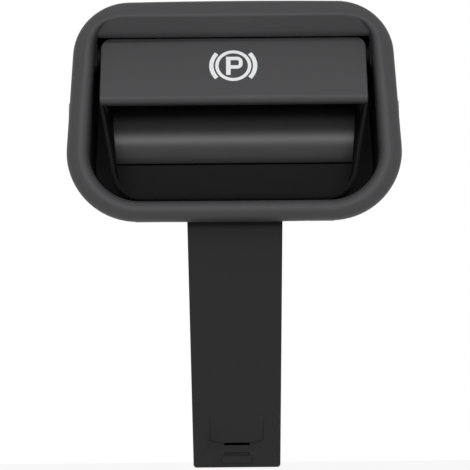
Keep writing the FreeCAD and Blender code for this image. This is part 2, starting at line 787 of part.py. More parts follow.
boss_radius = size("bossRadius", 3, "radius of the pivot bosses inside the tub")
window_width = size("windowWidth", 4.4, "width of the windows for the drive arms")
window_gap = size("windowGap", 0.5, "clearance over and under the drive arms at their limits")
pipe_side = size("pipeSide", 2.6, "side of the fixed light pipe")
pipe_inset = size("pipeInset", 2.8, "fixed light pipe under the pivot")
pipe_height = derived("pipeHeight", pivot_height - pipe_inset, "fixed light pipe over the origin")
screw_inset = size("screwInset", 3.9, "housing screws in from the plate's sides")
screw_place = derived("screwPlace", plate_half - screw_inset, "housing screws from the middle plane")
screw_height = size("screwHeight", 7, "housing screws over the origin")
screw_radius = size("screwRadius", 1.2, "radius of a housing screw's shank")
screw_length = size("screwLength", 7, "length of a housing screw under its head")
pillar_wall = size("pillarWall", 1.5, "wall of the screw pillars")
pillar_length = size("pillarLength", 6, "length of the screw pillars")
clip_boss_rise = size("clipBossRise", 0.45, "clip seats' outer face over the tub's side")
clip_boss_half = derived("clipBossHalf", lip_half + tub_wall + clip_boss_rise,
                         "outer face of the clip seats from the middle plane")
clip_boss_front = size("clipBossFront", 4, "front of the clip seats")
clip_boss_back = size("clipBossBack", 12.4, "rear of the clip seats")
clip_boss_height = size("clipBossHeight", 10, "height of the clip seats")
clip_width = size("clipWidth", 8, "width of a panel clip")
clip_lug_width = size("clipLugWidth", 2.4, "width of the lug that holds a panel clip")
clip_lug_length = size("clipLugLength", 2, "length of the lug that holds a panel clip")
clip_lug_place = size("clipLugPlace", 8, "lug that holds a panel clip, behind the fascia plane")
clip_sheet = size("clipSheet", 0.5, "spring steel sheet of a panel clip")
clip_spread = size("clipSpread", 3.4, "how far a panel clip's barb stands out from its seat")
clip_barb_length = size("clipBarbLength", 2.6, "barb of a panel clip behind its front edge")
buffer_inset = size("bufferInset", 12.4, "stop buffers in from the plate's sides")
buffer_place = derived("bufferPlace", plate_half - buffer_inset, "stop buffers from the middle plane")
buffer_drop = size("bufferDrop", 13, "stop buffers below the origin")
buffer_side = size("bufferSide", 4.4, "side of a stop buffer")
buffer_height = size("bufferHeight", 1, "height of a stop buffer over the tub's rear wall")
buffer_stem = size("bufferStem", 2, "side of a stop buffer's stem")
latch_length = size("latchLength", 6.5, "length of the tongue's latch ramp")
latch_gap = size("latchGap", 4.7, "end of the latch ramp from the tongue's end")
latch_drop = derived("latchDrop", tongue_drop - latch_gap, "end of the latch ramp below the origin")
latch_top = derived("latchTop", latch_drop - latch_length, "start of the latch ramp below the origin")
latch_half = size("latchHalf", 5.1, "half width of the tongue's latch ramp")
latch_rise = size("latchRise", 0.5, "height of the tongue's latch ramp")
latch_curve = size("latchCurve", 0.5, "sag of the latch ramp's curved end")
slot_half = size("slotHalf", 2.4, "half width of the narrow slots by the latch")
slot_height = size("slotHeight", 0.35, "height of the narrow slots by the latch")
fold_gap = size("foldGap", 2.8, "second narrow slot from the tongue's end")
fold_drop = derived("foldDrop", tongue_drop - fold_gap, "second narrow slot below the origin")
end_pad_half = size("endPadHalf", 2.9, "half width of the raised pad at the tongue's end")
end_pad_height = size("endPadHeight", 1.4, "height of the raised pad at the tongue's end")
end_pad_rise = size("endPadRise", 0.35, "how far the end pad stands out")

rib_root = size("ribRoot", 12, "length of the tongue ribs' deep root")
tongue_end_gap = size("tongueEndGap", 0.8, "end pad from the tongue's end")


def screw_spots():
    for side in (-1, 1):
        yield side * screw_place, screw_height


def make_carrier():
    carrier = Piece("carrier")
    mouth = collar_depth + fit_gap
    carrier.front_pad(mouth, tub_back, recess_outline(tub_wall))
    carrier.front_pocket(mouth, tub_floor, recess_outline())

    # Pivot bosses inside the side walls, and their bores for the bushes
    boss_end = recess_half_at(pivot_height) + tub_wall / 2
    outer = recess_half_at(pivot_height) + tub_wall + over
    bore = pin_radius + bush_wall + fit_gap
    for start in (pin_boss, -boss_end):
        carrier.add_round("X", (start, pivot_back, pivot_height), boss_radius,
                          boss_end - pin_boss)
        carrier.cut_box((start - over, start + tub_wall + over), (mouth - boss_radius, mouth),
                        around(pivot_height, 2 * boss_radius))
    for start in (pin_boss - over, -outer):
        carrier.cut_round("X", (start, pivot_back, pivot_height), bore, outer - pin_boss + over)

    # Windows for the drive arms and the light pipe
    far_arm = tub_back - pivot_back
    window_low = pivot_height - arm_tip_radius - far_arm * sine(pull_angle) - window_gap
    window_high = pivot_height + arm_tip_radius + far_arm * sine(push_angle) + window_gap
    for side in (-1, 1):
        carrier.cut_box(around(side * arm_place, window_width),
                        (tub_floor - over, tub_back + over), (window_low, window_high))
    pipe_hole = pipe_side + 2 * fit_gap
    carrier.cut_box(around(0 * pipe_side, pipe_hole), (tub_floor - over, tub_back + over),
                    around(pipe_height, pipe_hole))

    # Pillars for the switch housing
    for x, z in screw_spots():
        carrier.add_round("Y", (x, tub_back - floor_wall / 2, z), screw_radius + pillar_wall,
                          pillar_length + floor_wall / 2)
        carrier.cut_round("Y", (x, tub_back - fit_gap, z), screw_radius + fit_gap,
                          pillar_length + over)

    # Seats with lugs for the panel clips
    for side in (-1, 1):
        inner_face = lip_half + tub_wall / 2
        x = sorted((side * inner_face, side * clip_boss_half), key=value_of)
        carrier.add_box(x, (clip_boss_front, clip_boss_back), around(0 * lip_half, clip_boss_height))
        lug_face = clip_boss_half + clip_sheet + fit_gap
        x = sorted((side * (clip_boss_half - fit_gap), side * lug_face), key=value_of)
        carrier.add_box(x, around(clip_lug_place, clip_lug_length),
                        around(0 * lip_half, clip_lug_width))

    # Catches for the bezel's snap hooks
    for place, level, way in ((hook_top_place, lip_rise, 1), (hook_low_place, lip_drop, -1)):
        heights = [way * (level + tub_wall - fit_gap),
                   way * (level + tub_wall + hook_gap + hook_lug)]
        z = sorted(heights, key=value_of)
        for side in (-1, 1):
            carrier.add_box(around(side * place, hook_window - 4 * hook_gap),
                            (hook_window_start + hook_gap,
                             hook_window_start + hook_window_length - hook_gap), z)

    # Holes for the stems of the stop buffers
    for side in (-1, 1):
        hole = buffer_stem + 2 * fit_gap
        carrier.cut_box(around(side * buffer_place, hole), (tub_floor - over, tub_back + over),
                        around(-buffer_drop, hole))

    # Fixing tongue with two tapering ribs behind it
    tongue_back = tongue_front + tongue_wall
    tongue_top = -lip_drop - tub_wall / 2
    carrier.front_pad(tongue_front, tongue_back, [
        (-tongue_top_half, tongue_top),
        (tongue_top_half, tongue_top),
        (tongue_end_half, -tongue_drop, tongue_corner),
        (-tongue_end_half, -tongue_drop, tongue_corner),
    ])
    inside_tongue = tongue_back - tongue_wall / 2
    for side in (-1, 1):
        x = around(side * tongue_rib_place, tongue_rib_wall)
        carrier.side_pad(x[0], x[1], [
            (inside_tongue, tongue_top),
            (tub_floor, tongue_top),
            (tub_floor, tongue_top - tub_wall),
            (tongue_back + tongue_rib_wall, -lip_drop - rib_root),
            (tongue_back + tongue_rib_wall / 2, -latch_top + rib_root),
            (inside_tongue, -latch_top),
        ])

    # Latch: a shallow ramp with a curved end, two narrow slots and a raised pad
    ramp_front = tongue_front - latch_rise
    carrier.front_pad(ramp_front, tongue_front + latch_rise, [
        (-latch_half, -latch_top),
        (latch_half, -latch_top),
        (latch_half, latch_curve - latch_drop),
        (latch_half / 2, -latch_drop, latch_half),
        (-latch_half / 2, -latch_drop, latch_half),
        (-latch_half, latch_curve - latch_drop),
    ])
    carrier.side_pocket(-latch_half - over, latch_half + over, [
        (ramp_front - over, over - latch_top),
        (tongue_front, over - latch_top),
        (tongue_front, -latch_top),
        (ramp_front, -latch_drop),
        (ramp_front - over, -latch_drop),
    ])
    slots = ((latch_drop, latch_rise), (fold_drop, latch_rise / 2))
    for drop, depth in slots:
        carrier.cut_box((-slot_half, slot_half), (ramp_front - over, tongue_front + depth),
                        (-drop - slot_height, -drop))
    pad_top = tongue_end_gap - tongue_drop + end_pad_height
    carrier.add_box((-end_pad_half, end_pad_half),
                    (tongue_front - end_pad_rise, tongue_front + end_pad_rise),
                    (tongue_end_gap - tongue_drop, pad_top))
    return keep("carrier", carrier.body)


def make_push_stop_buffers():
    pieces = []
    for side in (-1, 1):
        x = side * buffer_place
        pad = box("buffer_pad", around(x, buffer_side), (tub_floor - buffer_height, tub_floor),
                  around(-buffer_drop, buffer_side))
        stem = box("buffer_stem", around(x, buffer_stem), (tub_floor - buffer_height / 2, tub_back),
                   around(-buffer_drop, buffer_stem))
        pieces.append(join("Part::MultiFuse", "buffer", pad, stem))
    return keep("push_stop_buffers", group("buffers", pieces))


def make_panel_clip(name, side):
    # A folded strip: a flat leg on the carrier's seat and a barbed leg that springs outward
    clip = Piece(name)
    leg = clip_boss_half
    out = leg + clip_sheet
    barb = leg + clip_spread
    front = clip_boss_front
    back = clip_boss_back + clip_sheet
    hook = front + clip_barb_length
    strip = [
        (leg + fit_gap, front),
        (out + fit_gap, front),
        (out + fit_gap, back - clip_sheet),
        (out + clip_sheet * 2, back - clip_sheet),
        (barb - clip_sheet, hook),
        (out + clip_sheet * 2, front - clip_sheet / 2),
        (out + clip_sheet * 3, front - clip_sheet / 2),
        (barb, hook),
        (out + clip_sheet * 3, back),
        (leg + fit_gap, back),
    ]
    # The strip is drawn in plan and stands on edge
    plan = clip.sketch("XY_Plane", -clip_width / 2)
    draw_outline(plan, [(side * x, y) for x, y in strip])
    clip.extrude("PartDesign::Pad", plan, clip_width, False)
    x = sorted((side * (leg - over), side * (out + 2 * fit_gap)), key=value_of)
    clip.cut_box(x, around(clip_lug_place, clip_lug_length + 2 * fit_gap),
                 around(0 * lip_half, clip_lug_width + 2 * fit_gap))
    return keep(name, clip.body)


# Switch housing behind the carrier

housing_inset = size("housingInset", 7.4, "switch housing's sides in from the plate's sides")
housing_half = derived("housingHalf", plate_half - housing_inset, "half width of the switch housing")
housing_rise = size("housingRise", 10.8, "top of the switch housing over the pivot")
housing_top = derived("housingTop", pivot_height + housing_rise, "top of the switch housing")
housing_drop = size("housingDrop", 5, "bottom of the switch housing below the origin")
housing_wall = size("housingWall", 1.4, "wall of the switch housing")
housing_length = size("housingLength", 12, "length of the switch housing")
post_size = size("postSize", 2.2, "side of the posts that carry the circuit board")
board_wall = size("boardWall", 1.6, "thickness of the circuit board")
board_front = size("boardFront", 24.6, "front face of the circuit board")
board_gap = size("boardGap", 0.3, "clearance round the circuit board")
slider_width = size("sliderWidth", 6.4, "width of a slider")
slider_height = size("sliderHeight", 6.4, "height of a slider")
slider_back = size("sliderBack", 23.2, "rear face of a slider")
slider_flare = size("sliderFlare", 1.3, "how much a slider's groove opens toward the front")
guide_rib = size("guideRib", 1.2, "thickness of the ribs that guide a slider")
seat_inset = size("seatInset", 10.6, "seat of the lower spring under the pivot")
seat_height = derived("seatHeight", pivot_height - seat_inset, "seat of the lower spring")
ear_size = size("earSize", 6.4, "width of a screw ear")
ear_wall = size("earWall", 2, "thickness of a screw ear")
spring_radius = size("springRadius", 1.5, "mean radius of a return spring")
spring_wire = size("springWire", 0.4, "wire diameter of a return spring")
stud_radius = size("studRadius", 1.1, "radius of the studs that centre the springs")
stud_length = size("studLength", 1, "length of the studs that centre the springs")
spring_turns = size("springTurns", 4, "turns of a return spring")
bridge_sheet = size("bridgeSheet", 0.3, "sheet of a contact bridge")
bridge_gap = size("bridgeGap", 0.1, "contact bridge from the circuit board")
bridge_height = size("bridgeHeight", 5, "height of a contact bridge")
bridge_width = size("bridgeWidth", 4, "width of a contact bridge")
cover_catch = size("coverCatch", 3.4, "catches of the rear cover before the housing's rear face")
cover_wall = size("coverWall", 1.5, "thickness of the rear cover")
shroud_half = size("shroudHalf", 8.5, "half width of the connector's shroud")
shroud_low = size("shroudLow", 3.2, "underside of the connector's shroud")
shroud_height = size("shroudHeight", 9, "height of the connector's shroud")
shroud_wall = size("shroudWall", 1.3, "wall of the connector's shroud")
shroud_length = size("shroudLength", 12, "length of the connector's shroud")
terminal_pitch = size("terminalPitch", 2.54, "pitch of the terminals")
terminal_side = size("terminalSide", 0.64, "side of a terminal")
terminal_reach = size("terminalReach", 7, "terminals behind the rear cover")
screw_head_radius = size("screwHeadRadius", 2.3, "radius of a housing screw's head")
screw_head_height = size("screwHeadHeight", 1.4, "height of a housing screw's head")

housing_front = derived("housingFront", tub_back + fit_gap, "front face of the switch housing")
housing_back = derived("housingBack", housing_front + housing_length, "rear face of the housing")
cavity_front = derived("cavityFront", housing_front + housing_wall, "front of the cavity")
slider_front = derived("sliderFront", cavity_front + 2 * slider_gap, "front face of a slider")
slider_low = derived("sliderLow", pivot_height - slider_height / 2, "underside of a slider")
slider_top = derived("sliderTop", pivot_height + slider_height / 2, "top of a slider")


def make_switch_housing():
    housing = Piece("switch_housing")
    inside_half = housing_half - housing_wall
    inside = (-inside_half, inside_half)
    inside_z = (housing_wall - housing_drop, housing_top - housing_wall)
    housing.add_box((-housing_half, housing_half), (housing_front, housing_back),
                    (-housing_drop, housing_top))
    housing.cut_box(inside, (cavity_front, housing_back + over), inside_z)
    posts = board_front - fit_gap
    for side in (-1, 1):
        x = sorted((side * (inside_half - post_size), side * (inside_half + fit_gap)),
                   key=value_of)
        housing.add_box(x, (cavity_front - fit_gap, posts),
                        (inside_z[0] - fit_gap, inside_z[0] + post_size))
        housing.add_box(x, (cavity_front - fit_gap, posts),
                        (inside_z[1] - post_size, inside_z[1] + fit_gap))

    for side in (-1, 1):
        middle = side * arm_place
        near = slider_width / 2 + slider_gap
        for edge in (-1, 1):
            x = sorted((middle + edge * near, middle + edge * (near + guide_rib)), key=value_of)
            housing.add_box(x, (cavity_front - fit_gap, slider_back),
                            (inside_z[0] - fit_gap, inside_z[1] + fit_gap))
        if side < 0:
            housing.add_round("Z", (middle, arm_tip, inside_z[1] - stud_length), stud_radius,
                              stud_length + fit_gap)
        else:
            housing.add_box(around(middle, 2 * near + guide_rib),
                            (cavity_front - fit_gap, slider_back),
                            (seat_height - housing_wall, seat_height))
            housing.add_round("Z", (middle, arm_tip, seat_height - fit_gap), stud_radius,
                              stud_length + fit_gap)
        far_arm = cavity_front - pivot_back
        low = pivot_height - arm_tip_radius - far_arm * sine(pull_angle) - window_gap
        high = pivot_height + arm_tip_radius + far_arm * sine(push_angle) + window_gap
        housing.cut_box(around(middle, window_width), (housing_front - over, cavity_front), (low, high))
    pipe_hole = pipe_side + 2 * fit_gap
    housing.cut_box(around(0 * pipe_side, pipe_hole), (housing_front - over, cavity_front + over),
                    around(pipe_height, pipe_hole))

    # Ears seat on the carrier's pillars
    ear_front = tub_back + pillar_length + fit_gap
    for x, z in screw_spots():
        side = 1 if value_of(x) > 0 else -1
        outer = side * (screw_place + ear_size / 2)
        span = sorted((side * (housing_half - housing_wall / 2), outer), key=value_of)
        housing.add_box(span, (ear_front, ear_front + ear_wall), around(z, ear_size))
        housing.cut_round("Y", (x, ear_front - over, z), screw_radius + 2 * fit_gap, ear_wall + 2 * over)

    # Catches for the rear cover's snap arms
    for side in (-1, 1):
        for level, way in ((housing_top, 1), (housing_drop, -1)):
            z = sorted((way * (level - fit_gap), way * (level + hook_gap + hook_lug)),
                       key=value_of)
            housing.add_box(around(side * arm_place, hook_window - 4 * hook_gap),
                            around(housing_back - cover_catch, hook_window_length - 2 * hook_gap),
                            z)
    return keep("switch_housing", housing.body)


def make_slider(name, side):
    slider = Piece(name)
    middle = side * arm_place
    x = around(middle, slider_width)
    groove_end = arm_tip + arm_tip_radius + 4 * slider_gap
    tight = arm_tip_radius + slider_gap / 2
    flared = tight + slider_flare
    slider.side_pad(x[0], x[1], [
        (slider_front, slider_low),
        (slider_back, slider_low),
        (slider_back, slider_top),
        (slider_front, slider_top),
        (slider_front, pivot_height + flared),
        (arm_tip - slider_gap, pivot_height + tight),
        (groove_end, pivot_height + tight),
        (groove_end, pivot_height - tight),
        (arm_tip - slider_gap, pivot_height - tight),
        (slider_front, pivot_height - flared),
    ])
    stud = slider_top - fit_gap if side < 0 else slider_low - stud_length
    slider.add_round("Z", (middle, arm_tip, stud), stud_radius, stud_length + fit_gap)
    return keep(name, slider.body)


def make_contact_bridge(name, side):
    bridge = Piece(name)
    x = around(side * arm_place, bridge_width)
    near = slider_back + fit_gap
    crest = board_front - bridge_gap
    half = bridge_height / 2
    foot = half - bridge_sheet * 3
    top = bridge_sheet
    upper = [
        (near, half),
        (near + bridge_sheet, half),
        (near + bridge_sheet, foot + bridge_sheet / 2),
        (crest, top + bridge_sheet / 2),
    ]
    inner = [(near, foot), (crest - bridge_sheet, top)]
    outline = [(y, pivot_height + up) for y, up in upper]
    outline += [(y, pivot_height - up) for y, up in reversed(upper)]
    outline += [(y, pivot_height - up) for y, up in inner]
    outline += [(y, pivot_height + up) for y, up in reversed(inner)]
    bridge.side_pad(x[0], x[1], outline)
    bridge.cut_box(around(side * arm_place, bridge_width / 4), (near - over, crest + over),
                   around(pivot_height, 2 * foot))
    return keep(name, bridge.body)


def make_return_spring(name, side, low, high):
    spring = Piece(name)
    reach = high - low - 2 * fit_gap - spring_wire
    sketch = spring.sketch("XZ_Plane", 0 * reach)
    near = spring_radius - spring_wire / 2
    draw_outline(sketch, [
        (near, 0 * reach),
        (near + spring_wire, 0 * reach),
        (near + spring_wire, spring_wire),
        (near, spring_wire),
    ])
    coil = spring.body.newObject("PartDesign::AdditiveHelix", f"{name}_coil")
    coil.Profile = sketch
    coil.ReferenceAxis = (sketch, ["V_Axis"])
    coil.Mode = 0
    set_length(coil, "Height", reach)
    set_length(coil, "Pitch", reach / spring_turns)
    set_base(spring.body, side * arm_place, arm_tip, low + fit_gap)
    return keep(name, spring.body)


def make_circuit_board():
    board = Piece("circuit_board")
    half = housing_half - housing_wall - board_gap
    board.add_box((-half, half), (board_front, board_front + board_wall),
                  (housing_wall + board_gap - housing_drop, housing_top - housing_wall - board_gap))
    return keep("circuit_board", board.body)


led_side = size("ledSide", 2, "side of the symbol's lamp")
led_depth = size("ledDepth", 0.9, "depth of the symbol's lamp")
chip_side = size("chipSide", 5, "side of the driver chip")
chip_depth = size("chipDepth", 1, "depth of the driver chip")
chip_height = size("chipHeight", 3, "driver chip over the origin")
resistor_length = size("resistorLength", 2, "length of a resistor")
resistor_width = size("resistorWidth", 1.2, "width of a resistor")
resistor_depth = size("resistorDepth", 0.5, "depth of a resistor")
resistor_rise = size("resistorRise", 3.4, "resistors over the pivot")
resistor_height = derived("resistorHeight", pivot_height + resistor_rise, "resistors over the origin")
resistor_pitch = size("resistorPitch", 2.2, "pitch of the resistors")


def make_symbol_led():
    lamp = Piece("symbol_led")
    lamp.add_box(around(0 * led_side, led_side), (board_front - led_depth, board_front),
                 around(pipe_height, led_side))
    return keep("symbol_led", lamp.body)


def make_board_components():
    chip = box("driver_chip", around(0 * chip_side, chip_side),
               (board_front - chip_depth, board_front), around(chip_height, chip_side))
    pieces = [chip]
    for i in range(4):
        pieces.append(box("resistor", around((i - 1.5) * resistor_pitch, resistor_width),
                          (board_front - resistor_depth, board_front),
                          around(resistor_height, resistor_length)))
    return keep("board_components", group("components", pieces))


def make_housing_light_pipe():
    pipe = Piece("housing_light_pipe")
    end = board_front - led_depth - bridge_sheet
    pipe.add_box(around(0 * pipe_side, pipe_side), (tub_floor, end),
                 around(pipe_height, pipe_side))
    collar = pipe_side + housing_wall
    pipe.add_box(around(0 * pipe_side, collar),
                 (cavity_front + fit_gap, cavity_front + fit_gap + housing_wall),
                 around(pipe_height, collar))
    return keep("housing_light_pipe", pipe.body)


def make_rear_cover():
    cover = Piece("rear_cover")
    front = housing_back + fit_gap
    back = front + cover_wall
    end = back + shroud_length
    shroud_top = shroud_low + shroud_height
    cover.add_box((-housing_half, housing_half), (front, back), (-housing_drop, housing_top))
    cover.add_box((-shroud_half, shroud_half), (back - cover_wall / 2, end),
                  (shroud_low, shroud_top))
    cover.cut_box((shroud_wall - shroud_half, shroud_half - shroud_wall), (back, end + over),
                  (shroud_low + shroud_wall, shroud_top - shroud_wall))
    catch = around(0 * shroud_half, shroud_half / 2)
    cover.side_pad(catch[0], catch[1], [
        (back + shroud_length / 3, shroud_top - shroud_wall / 2),
        (back + shroud_length / 3, shroud_top + shroud_wall),
        (back + shroud_length / 3 * 2, shroud_top - shroud_wall / 2),
    ])
    for side in (-1, 1):
        for level, way in ((housing_top, 1), (housing_drop, -1)):
            near = level + hook_gap
            z = sorted((way * near, way * (near + hook_wall)), key=value_of)
            x = around(side * arm_place, hook_width)
            cover.add_box(x, (housing_back - hook_length, back), z)
            root = sorted((way * (near + hook_wall), way * (level - housing_wall)), key=value_of)
            cover.add_box(x, (front, back), root)
            cover.cut_box(around(side * arm_place, hook_window),
                          around(housing_back - cover_catch, hook_window_length), z)
    for x, z in terminal_spots():
        hole = terminal_side + 2 * fit_gap
        cover.cut_box(around(x, hole), (front - over, back + over), around(z, hole))
    return keep("rear_cover", cover.body)


def terminal_spots():
    middle = shroud_low + shroud_height / 2
    for column in range(4):
        for row in (-0.5, 0.5):
            yield (column - 1.5) * terminal_pitch, middle + row * terminal_pitch


def make_terminal_pins():
    start = board_front + board_wall
    end = housing_back + fit_gap + cover_wall + terminal_reach
    pieces = [
        box("terminal", around(x, terminal_side), (start, end), around(z, terminal_side))
        for x, z in terminal_spots()
    ]
    return keep("terminal_pins", group("terminals", pieces))


def make_housing_screws():
    seat = tub_back + pillar_length + fit_gap + ear_wall
    pieces = []
    for x, z in screw_spots():
        head = cylinder("screw_head", "Y", (x, seat, z), screw_head_radius, screw_head_height)
        shank = cylinder("screw_shank", "Y", (x, seat - screw_length, z), screw_radius,
                         screw_length + screw_head_height / 2)
        pieces.append(join("Part::MultiFuse", "screw", head, shank))
    return keep("housing_screws", group("screws", pieces))


def make_all():
    make_bezel()
    make_carrier()
    make_lever_cap()
    make_lever_body()
    make_lever_light_guide()
    make_pivot_pin()
    make_push_stop_buffers()
    make_switch_housing()
    make_housing_light_pipe()
    make_circuit_board()
    make_symbol_led()
    make_board_components()
    make_rear_cover()
    make_terminal_pins()
    make_housing_screws()
    make_return_spring("return_spring_left", -1, slider_top, housing_top - housing_wall)
    make_return_spring("return_spring_right", 1, seat_height, slider_low)
    for word, side in (("left", -1), ("right", 1)):
        make_pivot_bush(f"pivot_bush_{word}", side)
        make_panel_clip(f"panel_clip_{word}", side)
        make_slider(f"slider_{word}", side)
        make_contact_bridge(f"contact_bridge_{word}", side)


make_all()
doc.recompute()
for thing in doc.Objects:
    if "Invalid" in thing.State or "Error" in thing.State:
        raise RuntimeError(f"{thing.Name} failed: {thing.State}")
for name, thing in sub_parts.items():
    if thing.Shape.isNull() or not thing.Shape.isValid():
        raise RuntimeError(f"{name} has no valid shape")
os.makedirs("parts", exist_ok=True)
for name, thing in sub_parts.items():
    thing.Shape.exportStep(f"parts/{name}.step")
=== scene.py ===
# Dashboard parking brake switch: finishes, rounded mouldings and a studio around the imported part
# +X is right, +Y goes into the dashboard, +Z is up, all in metres
import bpy
import bmesh
import json
import math
from mathutils import Matrix, Vector


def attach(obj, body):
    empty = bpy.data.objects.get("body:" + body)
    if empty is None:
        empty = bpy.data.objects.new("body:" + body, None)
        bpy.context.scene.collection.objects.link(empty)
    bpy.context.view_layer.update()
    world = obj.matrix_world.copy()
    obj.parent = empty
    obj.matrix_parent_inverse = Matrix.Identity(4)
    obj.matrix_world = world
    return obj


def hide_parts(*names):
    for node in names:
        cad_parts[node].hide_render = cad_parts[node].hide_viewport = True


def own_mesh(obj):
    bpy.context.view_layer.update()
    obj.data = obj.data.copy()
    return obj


mm = 0.001
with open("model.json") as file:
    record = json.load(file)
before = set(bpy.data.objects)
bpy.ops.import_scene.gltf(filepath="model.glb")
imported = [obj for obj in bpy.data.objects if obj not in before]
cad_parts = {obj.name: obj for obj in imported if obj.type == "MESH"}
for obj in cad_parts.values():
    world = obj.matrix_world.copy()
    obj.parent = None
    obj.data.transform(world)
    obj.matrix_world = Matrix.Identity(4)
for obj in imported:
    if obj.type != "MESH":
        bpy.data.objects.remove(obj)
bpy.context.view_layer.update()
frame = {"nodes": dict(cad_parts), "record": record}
nodes = frame["nodes"]
record = frame["record"]
bodyOf = {}
for bodyName, members in record["behaviour"]["bodies"].items():
    for member in members:
        bodyOf[member] = bodyName
print("frame loaded:", len(nodes), "nodes")


# Camera: below the switch, looking slightly up at it

camera = {
    "distance": 294 * mm,
    "target": Vector((0, 0, -24.2 * mm)),
    "below": math.radians(8.3),
    "roll": math.radians(0.5),
    "focalPixels": 1501,
    "framePixels": 470,
    "sensor": 36,
    "nearClip": 10 * mm,
    "farClip": 20,
}


def makeCamera():
    below = camera["below"]
    roll = camera["roll"]
    ahead = Vector((0, math.cos(below), math.sin(below)))
    level = Vector((1, 0, 0))
    upright = Vector((0, -math.sin(below), math.cos(below)))
    right = level * math.cos(roll) - upright * math.sin(roll)
    up = level * math.sin(roll) + upright * math.cos(roll)
    data = bpy.data.cameras.new("photoView")
    data.sensor_width = camera["sensor"]
    data.lens = camera["sensor"] * camera["focalPixels"] / camera["framePixels"]
    data.clip_start = camera["nearClip"]
    data.clip_end = camera["farClip"]
    view = bpy.data.objects.new("photoView", data)
    turn = Matrix((right, up, -ahead)).transposed().to_4x4()
    view.matrix_world = Matrix.Translation(camera["target"] - ahead * camera["distance"]) @ turn
    bpy.context.scene.collection.objects.link(view)
    bpy.context.scene.camera = view


makeCamera()
bpy.context.scene.view_settings.view_transform = "Standard"
print("camera placed")


# Nodes and colours

def hexColour(text):
    # sRGB hex to linear red, green, blue, alpha
    parts = [int(text[i:i + 2], 16) / 255 for i in (1, 3, 5)]
    linear = [p / 12.92 if p <= 0.04045 else ((p + 0.055) / 1.055) ** 2.4 for p in parts]
    return (*linear, 1)


def addNode(tree, kind, settings, inputs):
    # Inputs are values or other nodes' outputs, by name, or by number where names repeat
    node = tree.nodes.new(kind)
    for name, value in settings.items():
        setattr(node, name, value)
    for name, value in inputs.items():
        socket = node.inputs[name]
        if isinstance(value, bpy.types.NodeSocket):
            tree.links.new(value, socket)
        else:
            socket.default_value = value
    return node


viewportGrey = (0.2, 0.2, 0.2, 1)


def startMaterial(name):
    material = bpy.data.materials.new(name)
    material.use_nodes = True
    material.diffuse_color = viewportGrey
    tree = material.node_tree
    tree.nodes.clear()
    return material, tree


def perMetre(size):
    # Noise scale whose features are about this many metres across
    return 1 / size


def surfaceInputs(tree, look, shades, grain):
    # One pattern mixes two close shades, the other makes the gloss uneven and the surface rough
    shade = addNode(tree, "ShaderNodeMix", {"data_type": "RGBA"}, {
        0: shades,
        6: hexColour(look["dark"]),
        7: hexColour(look["light"]),
    })
    gloss = addNode(tree, "ShaderNodeMapRange", {}, {
        "Value": grain,
        "To Min": look["roughness"] - look["glossSpread"],
        "To Max": look["roughness"] + look["glossSpread"],
    })
    bump = addNode(tree, "ShaderNodeBump", {}, {
        "Height": grain,
        "Strength": look["grainStrength"],
        "Distance": look["grainDepth"],
    })
    return {
        "Base Color": shade.outputs[2],
        "Roughness": gloss.outputs["Result"],
        "Normal": bump.outputs["Normal"],
    }


def mouldedPlastic(name, look):
    # Slow clouds in the colour, and the grain of the mould in gloss and height. Real grain is
    # under 0.1 mm and wouldn't show, so it is drawn two to five times as coarse.
    material, tree = startMaterial(name)
    place = addNode(tree, "ShaderNodeTexCoord", {}, {}).outputs["Object"]
    clouds = addNode(tree, "ShaderNodeTexNoise", {}, {
        "Vector": place,
        "Scale": perMetre(look["cloudSize"]),
        "Detail": 3.0,
    })
    grain = addNode(tree, "ShaderNodeTexNoise", {}, {
        "Vector": place,
        "Scale": perMetre(look["grainSize"]),
        "Detail": 2.0,
        "Roughness": 0.6,
    })
    shader = addNode(tree, "ShaderNodeBsdfPrincipled", {}, {
        **surfaceInputs(tree, look, clouds.outputs["Fac"], grain.outputs["Fac"]),
        "IOR": look["ior"],
        "Specular IOR Level": look["specular"],
        "Transmission Weight": look.get("transmission", 0.0),
    })
    addNode(tree, "ShaderNodeOutputMaterial", {}, {"Surface": shader.outputs[0]})
    return material


def workedMetal(name, look):
    # Drawn or ground metal: fine streaks along one axis in colour, gloss and height
    material, tree = startMaterial(name)
    place = addNode(tree, "ShaderNodeTexCoord", {}, {}).outputs["Object"]
    stretched = addNode(tree, "ShaderNodeMapping", {}, {
        "Vector": place,
        "Scale": look["streaks"],
    })
    streaks = addNode(tree, "ShaderNodeTexNoise", {}, {
        "Vector": stretched.outputs["Vector"],
        "Scale": perMetre(look["grainSize"]),
        "Detail": 3.0,
    })
    shader = addNode(tree, "ShaderNodeBsdfPrincipled", {}, {
        **surfaceInputs(tree, look, streaks.outputs["Fac"], streaks.outputs["Fac"]),
        "Metallic": 1.0,
    })
    addNode(tree, "ShaderNodeOutputMaterial", {}, {"Surface": shader.outputs[0]})
    return material


# Moulded ABS under a satin soft paint: even dark grey with a low, broad sheen
satinPaint = mouldedPlastic("satinPaintOnAbs", {
    "dark": "#333335",
    "light": "#363638",
    "cloudSize": 18 * mm,
    "grainSize": 0.25 * mm,
    "grainStrength": 0.25,
    "grainDepth": 0.01 * mm,
    "roughness": 0.58,
    "glossSpread": 0.03,
    "ior": 1.5,
    "specular": 0.5,
})

# Black glass-filled polyamide from a spark-eroded mould: matt, with a fine grain
grainedPolyamide = mouldedPlastic("grainedPolyamide", {
    "dark": "#141415",
    "light": "#171718",
    "cloudSize": 12 * mm,
    "grainSize": 0.3 * mm,
    "grainStrength": 0.4,
    "grainDepth": 0.015 * mm,
    "roughness": 0.68,
    "glossSpread": 0.05,
    "ior": 1.52,
    "specular": 0.23,
})

